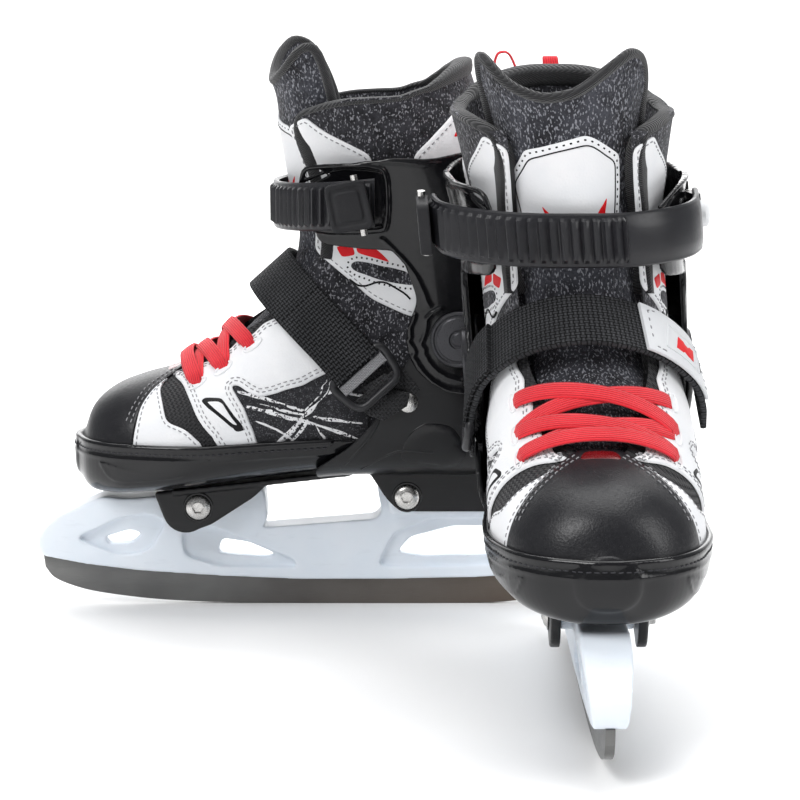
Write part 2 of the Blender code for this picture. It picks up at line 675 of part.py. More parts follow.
def main():
    for old in list(bpy.data.objects):
        bpy.data.objects.remove(old)
    stands = (("right", stand("right_skate", RIGHT_PIVOT, RIGHT_TURN), False),
              ("left", stand("left_skate", LEFT_PIVOT, LEFT_TURN), True))
    for name, shape_of, finish in PIECES:
        shape = shape_of()
        for side, parent, mirrored in stands:
            piece = bpy.data.objects.new(side + "_" + name, finished(shape.data, mirrored))
            piece.data.materials.append(material(finish))
            piece.parent = parent
            bpy.context.scene.collection.objects.link(piece)
        bpy.data.objects.remove(shape)


main()
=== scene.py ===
import json
import math
import bmesh
import bpy
import numpy as np
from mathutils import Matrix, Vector
from mathutils.geometry import delaunay_2d_cdt


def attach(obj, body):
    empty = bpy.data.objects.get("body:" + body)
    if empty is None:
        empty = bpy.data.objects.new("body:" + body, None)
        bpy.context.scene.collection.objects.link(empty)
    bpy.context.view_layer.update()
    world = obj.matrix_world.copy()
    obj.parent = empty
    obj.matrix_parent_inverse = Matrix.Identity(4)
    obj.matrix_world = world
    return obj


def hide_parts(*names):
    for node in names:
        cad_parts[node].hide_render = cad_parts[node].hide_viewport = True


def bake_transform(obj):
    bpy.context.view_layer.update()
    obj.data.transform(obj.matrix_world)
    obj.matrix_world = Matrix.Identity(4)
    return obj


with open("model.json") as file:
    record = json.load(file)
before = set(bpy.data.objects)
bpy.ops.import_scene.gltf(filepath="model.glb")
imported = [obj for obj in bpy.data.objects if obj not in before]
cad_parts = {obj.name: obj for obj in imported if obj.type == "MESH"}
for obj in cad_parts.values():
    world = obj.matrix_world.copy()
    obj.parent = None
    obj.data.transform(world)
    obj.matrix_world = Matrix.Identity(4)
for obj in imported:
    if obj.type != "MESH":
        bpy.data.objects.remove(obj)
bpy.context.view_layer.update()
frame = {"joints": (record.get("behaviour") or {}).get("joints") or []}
joints = {joint["name"]: joint for joint in frame["joints"]}
print("frame loaded")

# each skate has its own axes: forward along the runner, medial towards the other foot, up
skates = {}
for side in ("right", "left"):
    hinge = Vector(joints[side + "_cuff_hinge"]["pos_m"])
    slide = joints[side + "_toe_slide"]["axis"]
    forward = Vector((slide[0], slide[1], 0.0)).normalized()
    medial = Vector(joints[side + "_button_press"]["axis"]).normalized()
    skates[side] = {
        "centre": Vector((hinge.x, hinge.y, 0.0)),
        "forward": forward,
        "medial": medial,
        "mirrored": forward.cross(medial).z < 0.0,
    }

stance = {
    "leanFrom": 125.0,  # height where the boot begins to lean to the inner side, mm
    "lean": 0.09,
}


# mesh helpers, all in the skate's own millimetres
def meshOf(points, faces):
    mesh = bpy.data.meshes.new("shape")
    mesh.from_pydata([tuple(point) for point in points], [], [tuple(face) for face in faces])
    mesh.update()
    return mesh


def objectOf(mesh):
    shape = bpy.data.objects.new("shape", mesh)
    bpy.context.scene.collection.objects.link(shape)
    return shape


def faceOutwards(mesh):
    bm = bmesh.new()
    bm.from_mesh(mesh)
    bmesh.ops.recalc_face_normals(bm, faces=bm.faces)
    bm.to_mesh(mesh)
    bm.free()
    return mesh


def applied(shape):
    # bakes the modifiers of a working object into its mesh
    mesh = bpy.data.meshes.new_from_object(shape.evaluated_get(bpy.context.evaluated_depsgraph_get()))
    shape.modifiers.clear()
    shape.data = mesh
    return shape


def combine(target, other, operation):
    modifier = target.modifiers.new("boolean", "BOOLEAN")
    modifier.operation = operation
    modifier.solver = "MANIFOLD"
    modifier.object = other
    applied(target)
    bpy.data.objects.remove(other)
    return target


def cut(target, other):
    return combine(target, other, "DIFFERENCE")


def join(target, other):
    return combine(target, other, "UNION")


def keep(target, other):
    return combine(target, other, "INTERSECT")


def mould(shape, grain, rounds):
    # a moulded part: an even skin with softened edges
    remesh = shape.modifiers.new("skin", "REMESH")
    remesh.mode = "VOXEL"
    remesh.voxel_size = grain
    soften = shape.modifiers.new("soften", "SMOOTH")
    soften.factor = 0.5
    soften.iterations = rounds
    applied(shape)
    return shape


def rounded(points, radius, steps=5):
    # the closed outline with every corner turned to an arc
    made = []
    count = len(points)
    for i in range(count):
        before = Vector(points[i - 1])
        here = Vector(points[i])
        after = Vector(points[(i + 1) % count])
        back = before - here
        ahead = after - here
        reach = min(radius, 0.45 * back.length, 0.45 * ahead.length)
        start = here + back.normalized() * reach
        end = here + ahead.normalized() * reach
        for k in range(steps + 1):
            t = k / steps
            made.append(tuple(start * (1 - t) ** 2 + here * 2 * t * (1 - t) + end * t * t))
    return made


def curveThrough(points, steps):
    # a Catmull-Rom curve through the points
    chain = [2 * Vector(points[0]) - Vector(points[1])]
    chain += [Vector(point) for point in points]
    chain.append(2 * Vector(points[-1]) - Vector(points[-2]))
    path = []
    for a, b, c, d in zip(chain, chain[1:], chain[2:], chain[3:]):
        for i in range(steps):
            t = i / steps
            path.append(0.5 * (2 * b + (c - a) * t + (2 * a - 5 * b + 4 * c - d) * t * t
                               + (3 * b - a - 3 * c + d) * t ** 3))
    path.append(Vector(points[-1]))
    return path


def prism(outline, low, high, axis="y"):
    # outline in x and z running along y, or in x and y running along z
    place = {"y": lambda a, b, level: (a, level, b), "z": lambda a, b, level: (a, b, level)}[axis]
    count = len(outline)
    points = [place(a, b, level) for level in (low, high) for a, b in outline]
    faces = [tuple(range(count)), tuple(reversed(range(count, 2 * count)))]
    for i in range(count):
        j = (i + 1) % count
        faces.append((j, i, count + i, count + j))
    return objectOf(faceOutwards(meshOf(points, faces)))


def disc(centre, radius, count=40, start=0.0, end=360.0):
    points = []
    full = abs(end - start) >= 359.9
    for i in range(count):
        angle = math.radians(start + (end - start) * i / (count if full else count - 1))
        points.append((centre[0] + radius * math.cos(angle), centre[1] + radius * math.sin(angle)))
    return points


def turned(profile, count=48):
    # a lathe form about the y axis: profile of (radius, level), closed at both ends
    points = []
    faces = []
    for radius, level in profile:
        for i in range(count):
            angle = 2 * math.pi * i / count
            points.append((radius * math.cos(angle), level, radius * math.sin(angle)))
    for ring in range(len(profile) - 1):
        for i in range(count):
            j = (i + 1) % count
            a, b = ring * count, (ring + 1) * count
            faces.append((a + i, b + i, b + j, a + j))
    faces.append(tuple(range(count)))
    faces.append(tuple(reversed(range((len(profile) - 1) * count, len(profile) * count))))
    return objectOf(faceOutwards(meshOf(points, faces)))


def movedBy(shape, x=0.0, y=0.0, z=0.0):
    for vertex in shape.data.vertices:
        vertex.co += Vector((x, y, z))
    return shape


def runAt(path, i):
    # the way the path travels at one of its points
    return path[min(i + 1, len(path) - 1)] - path[max(i - 1, 0)]


def sweep(path, sideways, outwards, sections):
    # a skin along the path; each section is a list of (across, out) in mm,
    # and flat keeps the run and the turn
    points = []
    flat = []
    run = 0.0
    count = len(sections[0])
    for i, point in enumerate(path):
        if i:
            run += (Vector(point) - Vector(path[i - 1])).length
        for k, (across, out) in enumerate(sections[i]):
            points.append(Vector(point) + sideways[i] * across + outwards[i] * out)
            flat.append((run, across, out))
    faces = []
    rings = len(path)
    for i in range(rings - 1):
        a, b = i * count, (i + 1) * count
        for k in range(count):
            j = (k + 1) % count
            faces.append((a + k, b + k, b + j, a + j))
    faces.append(tuple(range(count)))
    faces.append(tuple(reversed(range((rings - 1) * count, rings * count))))
    mesh = faceOutwards(meshOf(points, faces))
    attribute = mesh.attributes.new("flat", "FLOAT_VECTOR", "POINT")
    attribute.data.foreach_set("vector", np.array(flat, np.float32).ravel())
    return mesh


def tube(path, radius, count=10):
    # a round bead along the path
    sideways = []
    outwards = []
    last = None
    for i in range(len(path)):
        run = runAt(path, i).normalized()
        guide = last if last is not None else (Vector((0, 0, 1)) if abs(run.z) < 0.9 else Vector((0, 1, 0)))
        across = run.cross(guide).normalized()
        out = across.cross(run).normalized()
        last = out
        sideways.append(across)
        outwards.append(out)
    ring = [(radius * math.cos(2 * math.pi * k / count), radius * math.sin(2 * math.pi * k / count))
            for k in range(count)]
    return sweep(path, sideways, outwards, [ring] * len(path))


def smoothed(path, rounds):
    for _ in range(rounds):
        path = [path[0]] + [(a + b * 2 + c) / 4 for a, b, c in zip(path, path[1:], path[2:])] + [path[-1]]
    return path


def bevelled(shape, width, segments=1):
    bevel = shape.modifiers.new("bevel", "BEVEL")
    bevel.width = width
    bevel.segments = segments
    return applied(shape)


def merged(meshes):
    # several shapes as one mesh, without joining their skins
    bm = bmesh.new()
    for mesh in meshes:
        bm.from_mesh(mesh)
    made = bpy.data.meshes.new("shape")
    bm.to_mesh(made)
    bm.free()
    return made


# the boot's outer form, one section per row from the toe round the ankle to the collar
boot = {
    "sole": (66.0, 70.0, 0.1125, 72.0),  # x and height of a point on the sole, its slope, height at the heel
    "nose": 3.0,
    "roundAbove": 2.1,
    "wall": 5.8,
    "ankleHalf": 38.0,
}


def soleAt(x):
    atX, atZ, slope, heel = boot["sole"]
    return min(heel, atZ - slope * (x - atX))


def bootSections():
    half = boot["ankleHalf"]
    # upper x, upper z, lower x, lower z, half width, widest level as a share from below, flatness below
    return np.array((
        (175.5, 84.0, 175.5, 67.0, 10.0, 0.45, 2.4),
        (171.0, 96.5, 171.0, 61.0, 22.0, 0.42, 2.8),
        (161.0, 105.5, 161.0, 60.0, 32.0, 0.40, 3.2),
        (147.0, 111.0, 147.0, soleAt(147.0), 37.5, 0.38, 3.2),
        (130.0, 116.0, 130.0, soleAt(130.0), 41.0, 0.36, 3.2),
        (113.0, 127.5, 110.0, soleAt(110.0), 41.5, 0.38, 3.0),
        (100.0, 140.0, 88.0, soleAt(88.0), 41.5, 0.42, 2.8),
        (89.5, 151.5, 55.0, soleAt(55.0), half + 3.5, 0.45, 3.2),
        (82.0, 164.0, 22.0, 72.0, half + 1.5, 0.50, 4.0),
        (78.5, 178.0, -14.0, 72.0, half, 0.52, 3.8),
        (79.0, 192.0, -42.0, 88.0, half, 0.50, 2.6),
        (83.0, 207.0, -46.5, 122.0, half, 0.50, 2.2),
        (86.5, 224.0, -40.0, 168.0, half + 0.5, 0.50, 2.2),
        (89.5, 240.0, -22.0, 215.0, half + 5.5, 0.50, 2.2),
        (91.0, 256.0, -6.0, 255.0, half + 10.0, 0.50, 2.2),
        (92.0, 276.0, 0.0, 290.0, half + 10.5, 0.50, 2.2),
    ))


sections = bootSections()
lastRow = len(sections) - 1.0


def onBoot(t, turn, offset=0.0):
    # points on the boot: t counts the sections, turn is 0 at the ridge and +90 degrees on the inner side
    t = np.atleast_1d(np.asarray(t, float))
    turn = np.broadcast_to(np.asarray(turn, float), t.shape)
    offset = np.broadcast_to(np.asarray(offset, float), t.shape)
    held = np.clip(t, 0.0, lastRow)
    row = np.minimum(held.astype(int), int(lastRow) - 1)
    part = (held - row)[:, None]
    b = sections[row]
    c = sections[row + 1]
    a = np.where((row > 0)[:, None], sections[np.maximum(row - 1, 0)], 2 * b - c)
    d = np.where((row + 2 <= lastRow)[:, None], sections[np.minimum(row + 2, int(lastRow))], 2 * c - b)
    smooth = 0.5 * (2 * b + (c - a) * part + (2 * a - 5 * b + 4 * c - d) * part ** 2
                    + (3 * b - a - 3 * c + d) * part ** 3)
    upper, lower = smooth[:, 0:2], smooth[:, 2:4]
    half, widest, flat = smooth[:, 4], smooth[:, 5:6], smooth[:, 6]
    line = upper - lower
    along = line / np.linalg.norm(line, axis=1)[:, None]
    middle = lower + line * widest
    cosine, sine = np.cos(turn), np.sin(turn)
    power = np.where(cosine > 0, 2.0 / boot["roundAbove"], 2.0 / flat)
    rise = np.linalg.norm(upper - middle, axis=1) + offset
    drop = np.linalg.norm(middle - lower, axis=1) + offset
    tip = np.clip(-t, 0.0, 1.0) * math.pi / 2  # the nose closes ahead of the first section
    reach = np.abs(cosine) ** power * np.where(cosine > 0, rise, -drop) * np.cos(tip)
    side = np.sign(sine) * np.abs(sine) ** power * (half + offset) * np.cos(tip)
    point = middle + along * reach[:, None]
    ahead = offset * np.clip(1.0 - t / 2.0, 0.0, 1.0) + boot["nose"] * np.sin(tip)
    return np.stack([point[:, 0] + ahead, side, point[:, 1]], 1)


def bootForm(offset, count=72, step=0.2):
    # the whole boot as one closed form, grown outwards by the offset
    levels = list(np.arange(-0.8, 0.0, 0.2)) + list(np.arange(0.0, lastRow + 0.001, step))
    turns = np.linspace(0, 2 * math.pi, count, endpoint=False)
    points = [onBoot(-1.0, 0.0, offset)[0]]
    for level in levels:
        points.extend(onBoot(np.full(count, level), turns, offset))
    faces = []
    for i in range(count):
        j = (i + 1) % count
        faces.append((0, 1 + i, 1 + j))
        for ring in range(len(levels) - 1):
            a, b = 1 + ring * count, 1 + (ring + 1) * count
            faces.append((a + i, b + i, b + j, a + j))
    faces.append(tuple(1 + (len(levels) - 1) * count + i for i in reversed(range(count))))
    return objectOf(faceOutwards(meshOf(points, faces)))


def layer(inner, outer):
    return cut(bootForm(outer), bootForm(inner))


# a fine lattice over the boot, to find where a point seen from the side or from above lies on it
latticeT, latticeTurn = np.meshgrid(np.arange(-0.9, lastRow, 0.03),
                                    np.radians(np.arange(-180.0, 180.0, 1.0)),
                                    indexing="ij")
latticeT, latticeTurn = latticeT.ravel(), latticeTurn.ravel()
latticeXYZ = onBoot(latticeT, latticeTurn, 1.0)


def findOnBoot(a, b, kind):
    # kind "in" or "out": x and z seen from the inner or outer side; "top": x and m seen from above
    if kind == "top":
        allowed = (np.abs(latticeTurn) < 1.3) & (latticeT < 8.0)
        gap = (latticeXYZ[:, 0] - a) ** 2 + (latticeXYZ[:, 1] - b) ** 2
    else:
        sign = 1.0 if kind == "in" else -1.0
        allowed = latticeXYZ[:, 1] * sign > (25.5 if b > 150 and a > 40 else -0.5)
        gap = (latticeXYZ[:, 0] - a) ** 2 + (latticeXYZ[:, 2] - b) ** 2
    best = np.argmin(np.where(allowed, gap, 1e9))
    return latticeT[best], latticeTurn[best]


def axesOnBoot(t, turn, offset):
    # position, two tangents per unit of t and turn, and the outward normal
    here = onBoot(t, turn, offset)
    alongT = (onBoot(t + 0.02, turn, offset) - onBoot(t - 0.02, turn, offset)) / 0.04
    alongTurn = (onBoot(t, turn + 0.01, offset) - onBoot(t, turn - 0.01, offset)) / 0.02
    normal = np.cross(alongT, alongTurn)
    normal /= np.maximum(np.linalg.norm(normal, axis=1), 1e-9)[:, None]
    grown = onBoot(t, turn, offset + 1.0) - here
    normal *= np.sign(np.sum(normal * grown, axis=1))[:, None]
    return here, alongT, alongTurn, normal


def shifted(spots, distance, offset):
    # moves a closed line on the boot to its own inner side by a true distance
    t, turn = spots[:, 0], spots[:, 1]
    here, alongT, alongTurn, normal = axesOnBoot(t, turn, offset)
    run = np.roll(here, -1, 0) - np.roll(here, 1, 0)
    run /= np.maximum(np.linalg.norm(run, axis=1), 1e-9)[:, None]
    inward = np.cross(normal, run) * distance
    e = np.sum(alongT * alongT, 1)
    f = np.sum(alongT * alongTurn, 1)
    g = np.sum(alongTurn * alongTurn, 1)
    p = np.sum(inward * alongT, 1)
    q = np.sum(inward * alongTurn, 1)
    det = np.maximum(e * g - f * f, 1e-6)
    return np.stack([t + (g * p - f * q) / det, turn + (e * q - f * p) / det], 1)


def outlineOnBoot(points, soft=1.6, spacing=1.2):
    # corner points of mixed kinds to an evenly spaced closed line in t and turn, with softened corners
    spots = []
    count = len(points)
    for i in range(count):
        a, b = points[i], points[(i + 1) % count]
        steps = 1
        if a[2] == b[2]:
            steps = max(1, int(math.hypot(a[0] - b[0], a[1] - b[1]) / 4.0))
        for k in range(steps):
            share = k / steps
            spots.append(findOnBoot(a[0] + (b[0] - a[0]) * share, a[1] + (b[1] - a[1]) * share, a[2]))
    return evenly(np.array(spots), soft, spacing)


def evenly(spots, soft, spacing):
    spots = spots.copy()
    for i in range(1, len(spots)):
        while spots[i, 1] - spots[i - 1, 1] > math.pi:
            spots[i:, 1] -= 2 * math.pi
        while spots[i, 1] - spots[i - 1, 1] < -math.pi:
            spots[i:, 1] += 2 * math.pi
    ring = np.vstack([spots, spots[:1]])
    place = onBoot(ring[:, 0], ring[:, 1], 0.5)
    run = np.concatenate([[0], np.cumsum(np.linalg.norm(np.diff(place, axis=0), axis=1))])
    count = max(12, int(run[-1] / spacing))
    at = np.linspace(0, run[-1], count, endpoint=False)
    line = np.stack([np.interp(at, run, ring[:, 0]), np.interp(at, run, ring[:, 1])], 1)
    for _ in range(int((soft / spacing) ** 2 * 2) + 2 if soft > 0 else 0):
        line = 0.5 * line + 0.25 * (np.roll(line, 1, 0) + np.roll(line, -1, 0))
    here, _, _, normal = axesOnBoot(line[:, 0], line[:, 1], 0.5)
    centre = here.mean(0)
    area = np.sum(np.cross(here - centre, np.roll(here, -1, 0) - centre) * normal.mean(0))
    return line if area > 0 else line[::-1].copy()


def insideFlat(points, polygon):
    # which flat points lie inside the polygon
    inside = np.zeros(len(points), bool)
    x, y = points[:, 0], points[:, 1]
    j = len(polygon) - 1
    for i in range(len(polygon)):
        xi, yi = polygon[i]
        xj, yj = polygon[j]
        crosses = (yi > y) != (yj > y)
        inside ^= crosses & (x < (xj - xi) * (y - yi) / ((yj - yi) or 1e-12) + xi)
        j = i
    return inside


def patch(line, base, thick, edge=0.8, under=0.5, spacing=2.4):
    # a sewn or printed patch that follows the boot, with a turned edge, closed underneath
    scale = np.array([14.0, 40.0])
    rows = [line]
    heights = [0.0]
    if edge > 0:
        for share in (0.3, 1.0):
            rows.append(shifted(line, edge * share, base))
            heights.append(math.sqrt(1 - (1 - share) ** 2))
    count = len(line)
    inner = rows[-1] * scale
    low, high = inner.min(0), inner.max(0)
    gridT, gridTurn = np.meshgrid(np.arange(low[0] + 0.7, high[0], spacing),
                                  np.arange(low[1] + 0.7, high[1], spacing))
    grid = np.stack([gridT.ravel(), gridTurn.ravel()], 1)
    if len(grid):
        grid = grid[insideFlat(grid, inner)]
    if len(grid):
        gap = np.min(np.linalg.norm(grid[:, None, :] - inner[None, :, :], axis=2), axis=1)
        grid = grid[gap > spacing * 0.45]
    flat = [Vector(point) for point in inner] + [Vector(point) for point in grid]
    cdt = delaunay_2d_cdt(flat, [], [list(range(count))], 1, 1e-4)
    middle = np.array([(v.x, v.y) for v in cdt[0]]) / scale
    ringAt = {}
    for k, origins in enumerate(cdt[3]):
        for origin in origins:
            if origin < count:
                ringAt[origin] = k
    points = []
    for row, height in zip(rows[:-1], heights[:-1]):
        points.extend(onBoot(row[:, 0], row[:, 1], base + thick * height))
    start = len(points)
    points.extend(onBoot(middle[:, 0], middle[:, 1], base + thick * heights[-1]))
    faces = [tuple(start + v for v in face) for face in cdt[2]]
    for r in range(len(rows) - 1):
        for i in range(count):
            j = (i + 1) % count
            a, b = r * count + i, r * count + j
            if r < len(rows) - 2:
                c, d = (r + 1) * count + j, (r + 1) * count + i
            else:
                c, d = start + ringAt.get(j, 0), start + ringAt.get(i, 0)
            if c != d:
                faces.append((a, b, c, d))
    below = len(points)
    points.extend(onBoot(middle[:, 0], middle[:, 1], base - under))
    faces += [tuple(reversed([below + v for v in face])) for face in cdt[2]]
    for i in range(count):
        j = (i + 1) % count
        top = (i, j) if len(rows) > 1 else (start + ringAt.get(i, 0), start + ringAt.get(j, 0))
        bottom = (below + ringAt.get(j, 0), below + ringAt.get(i, 0))
        if bottom[0] != bottom[1]:
            faces.append((top[1], top[0], bottom[1], bottom[0]))
    bm = bmesh.new()
    mesh = meshOf(points, faces)
    bm.from_mesh(mesh)
    bmesh.ops.remove_doubles(bm, verts=bm.verts, dist=0.002)
    loose = [v for v in bm.verts if not v.link_faces]
    bmesh.ops.delete(bm, geom=loose, context="VERTS")
    bmesh.ops.recalc_face_normals(bm, faces=bm.faces)
    bm.to_mesh(mesh)
    bm.free()
    return mesh


def dashes(place, normal, run, size):
    # one stitch at each place: a low rounded bar of thread
    length, width, height = size
    points = []
    faces = []
    for p, n, r in zip(place, normal, run):
        across = np.cross(n, r)
        start = len(points)
        for along, lift, wide in ((-0.5, -0.3, 0.7), (-0.32, 1.0, 1.0), (0.32, 1.0, 1.0), (0.5, -0.3, 0.7)):
            for s in (-0.5, 0.5):
                points.append(p + r * length * along + n * height * lift + across * width * wide * s)
            if lift > 0:
                for s in (-0.5, 0.5):
                    points.append(p + r * length * along - n * height * 0.3 + across * width * wide * s)
        a = start
        faces += [(a, a + 1, a + 3, a + 2), (a + 2, a + 3, a + 7, a + 6), (a + 6, a + 7, a + 11, a + 10),
                  (a, a + 4, a + 5, a + 1), (a + 4, a + 8, a + 9, a + 5), (a + 8, a + 10, a + 11, a + 9),
                  (a, a + 2, a + 4), (a + 2, a + 6, a + 8, a + 4), (a + 6, a + 10, a + 8),
                  (a + 1, a + 5, a + 3), (a + 3, a + 5, a + 9, a + 7), (a + 7, a + 9, a + 11)]
    return faceOutwards(meshOf(points, faces))


def stitches(line, base, inset=2.0, pitch=2.9, size=(1.9, 0.45, 0.28), closed=True, span=None):
    # a row of thread along a line on the boot, at its inner side
    spots = shifted(line, inset, base) if inset else line
    if span:
        spots = spots[int(span[0] * len(spots)):int(span[1] * len(spots))]
        closed = False
    ring = np.vstack([spots, spots[:1]]) if closed else spots
    here = onBoot(ring[:, 0], ring[:, 1], base)
    run = np.concatenate([[0], np.cumsum(np.linalg.norm(np.diff(here, axis=0), axis=1))])
    count = max(2, int(run[-1] / pitch))
    at = (np.arange(count) + 0.5) * run[-1] / count
    t = np.interp(at, run, ring[:, 0])
    turn = np.interp(at, run, ring[:, 1])
    ahead = onBoot(np.interp(at + 0.5, run, ring[:, 0]), np.interp(at + 0.5, run, ring[:, 1]), base)
    place, _, _, normal = axesOnBoot(t, turn, base)
    direction = ahead - place
    direction /= np.maximum(np.linalg.norm(direction, axis=1), 1e-9)[:, None]
    return dashes(place, normal, direction, size)


def bothSides(points):
    # the same corners on the outer side
    swap = {"in": "out", "out": "in", "top": "top"}
    return [(a, -b if kind == "top" else b, swap[kind]) for a, b, kind in points]


def seen(points, kind="in"):
    return [(a, b, kind) for a, b in points]


def ribbon(points, width, kind="in"):
    # a thin band of the given width round an open line seen from the side
    path = [Vector(point) for point in points]
    left, right = [], []
    for i, here in enumerate(path):
        run = runAt(path, i).normalized()
        across = Vector((-run.y, run.x)) * width / 2
        taper = 0.45 if i in (0, len(path) - 1) else 1.0
        left.append(tuple(here + across * taper))
        right.append(tuple(here - across * taper))
    return seen(left + right[::-1], kind)


print("boot form ready")


# placing a finished mesh on both skates
def settle(name, mesh, finishes, body="skates", stands=(), bend=None, crease=38.0):
    for side, skate in skates.items():
        shape = mesh.copy()
        count = len(shape.vertices)
        local = np.empty(count * 3, np.float32)
        shape.vertices.foreach_get("co", local)
        attribute = shape.attributes.new("local", "FLOAT_VECTOR", "POINT")
        attribute.data.foreach_set("vector", local)
        x, m, z = local.reshape(-1, 3).astype(float).T
        m = m + stance["lean"] * np.maximum(0.0, z - stance["leanFrom"])
        world = np.outer(x, skate["forward"]) + np.outer(m, skate["medial"])
        world[:, 2] += z
        world = world * 0.001 + np.array(skate["centre"])
        shape.vertices.foreach_set("co", world.astype(np.float32).ravel())
        if skate["mirrored"]:
            shape.flip_normals()
        shape.shade_smooth()
        shape.set_sharp_from_angle(angle=math.radians(crease))
        shape.materials.clear()
        for look in finishes:
            shape.materials.append(look)
        piece = bpy.data.objects.new(side + name, shape)
        bpy.context.scene.collection.objects.link(piece)
        if bend == "toe":
            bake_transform(piece)
        elif bend == "cuff":
            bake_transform(piece)
        else:
            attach(piece, body if body == "skates" else side + "_" + body)
        if stands:
            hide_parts(*[side + "_" + node for node in stands])


def meshFrom(shape):
    # takes the mesh out of a working object
    mesh = shape.data
    bpy.data.objects.remove(shape)
    return mesh


# finishes: colour, wear and relief are all made from the piece's own coordinates in mm
def mathOf(tree, operation, *values):
    node = tree.nodes.new("ShaderNodeMath")
    node.operation = operation
    for socket, value in zip(node.inputs, values):
        if isinstance(value, (int, float)):
            socket.default_value = value
        else:
            tree.links.new(value, socket)
    return node.outputs[0]


def noiseOf(tree, vector, scale, detail=3.0, stretch=(1, 1, 1)):
    scaled = tree.nodes.new("ShaderNodeVectorMath")
    scaled.operation = "MULTIPLY"
    scaled.inputs[1].default_value = stretch
    tree.links.new(vector, scaled.inputs[0])
    noise = tree.nodes.new("ShaderNodeTexNoise")
    noise.inputs["Scale"].default_value = scale
    noise.inputs["Detail"].default_value = detail
    tree.links.new(scaled.outputs[0], noise.inputs["Vector"])
    return noise.outputs["Fac"]


def spread(tree, value, low, high, toLow=0.0, toHigh=1.0):
    ranged = tree.nodes.new("ShaderNodeMapRange")
    ranged.inputs["From Min"].default_value = low
    ranged.inputs["From Max"].default_value = high
    ranged.inputs["To Min"].default_value = toLow
    ranged.inputs["To Max"].default_value = toHigh
    tree.links.new(value, ranged.inputs["Value"])
    return ranged.outputs["Result"]


def mixOf(tree, share, first, second):
    mix = tree.nodes.new("ShaderNodeMix")
    mix.data_type = "RGBA"
    tree.links.new(share, mix.inputs["Factor"])
    for key, value in ((6, first), (7, second)):
        if isinstance(value, tuple):
            mix.inputs[key].default_value = (*value, 1.0)
        else:
            tree.links.new(value, mix.inputs[key])
    return mix.outputs[2]


def wave(tree, value, pitch):
    # 0 at the seam between two threads and 1 on the thread
    return mathOf(tree, "ABSOLUTE", mathOf(tree, "SINE", mathOf(tree, "MULTIPLY", value, math.pi / pitch)))


def crossed(tree, u, v, pitchU, pitchV):
    # threads over and under each other
    sineU = mathOf(tree, "SINE", mathOf(tree, "MULTIPLY", u, math.pi / pitchU))
    sineV = mathOf(tree, "SINE", mathOf(tree, "MULTIPLY", v, math.pi / pitchV))
    over = mathOf(tree, "GREATER_THAN", mathOf(tree, "MULTIPLY", sineU, sineV), 0.0)
    under = mathOf(tree, "SUBTRACT", 1.0, over)
    return mathOf(tree, "ADD", mathOf(tree, "MULTIPLY", wave(tree, u, pitchU), over),
                  mathOf(tree, "MULTIPLY", wave(tree, v, pitchV), under))


def patternOf(tree, kind, vector, pitch):
    parts = tree.nodes.new("ShaderNodeSeparateXYZ")
    tree.links.new(vector, parts.inputs[0])
    x, y, z = parts.outputs
    if kind == "weave":
        tilted = mathOf(tree, "MULTIPLY", z, 0.9)
        across = mathOf(tree, "ADD", mathOf(tree, "SUBTRACT", x, tilted), y)
        return crossed(tree, mathOf(tree, "ADD", x, tilted), across, pitch, pitch)
    if kind == "webbing":
        # flat run: x along the band, y across it
        return crossed(tree, x, y, pitch, pitch * 0.8)
    if kind == "lengthRibs":
        return wave(tree, y, pitch)
    if kind == "crossRibs":
        return wave(tree, x, pitch)
    if kind == "diagonal":
        return wave(tree, mathOf(tree, "ADD", mathOf(tree, "ADD", x, z), mathOf(tree, "MULTIPLY", y, 0.5)),
                    pitch)
    cells = tree.nodes.new("ShaderNodeTexVoronoi")
    cells.inputs["Scale"].default_value = 1.0 / pitch
    tree.links.new(vector, cells.inputs["Vector"])
    return cells.outputs["Distance"]


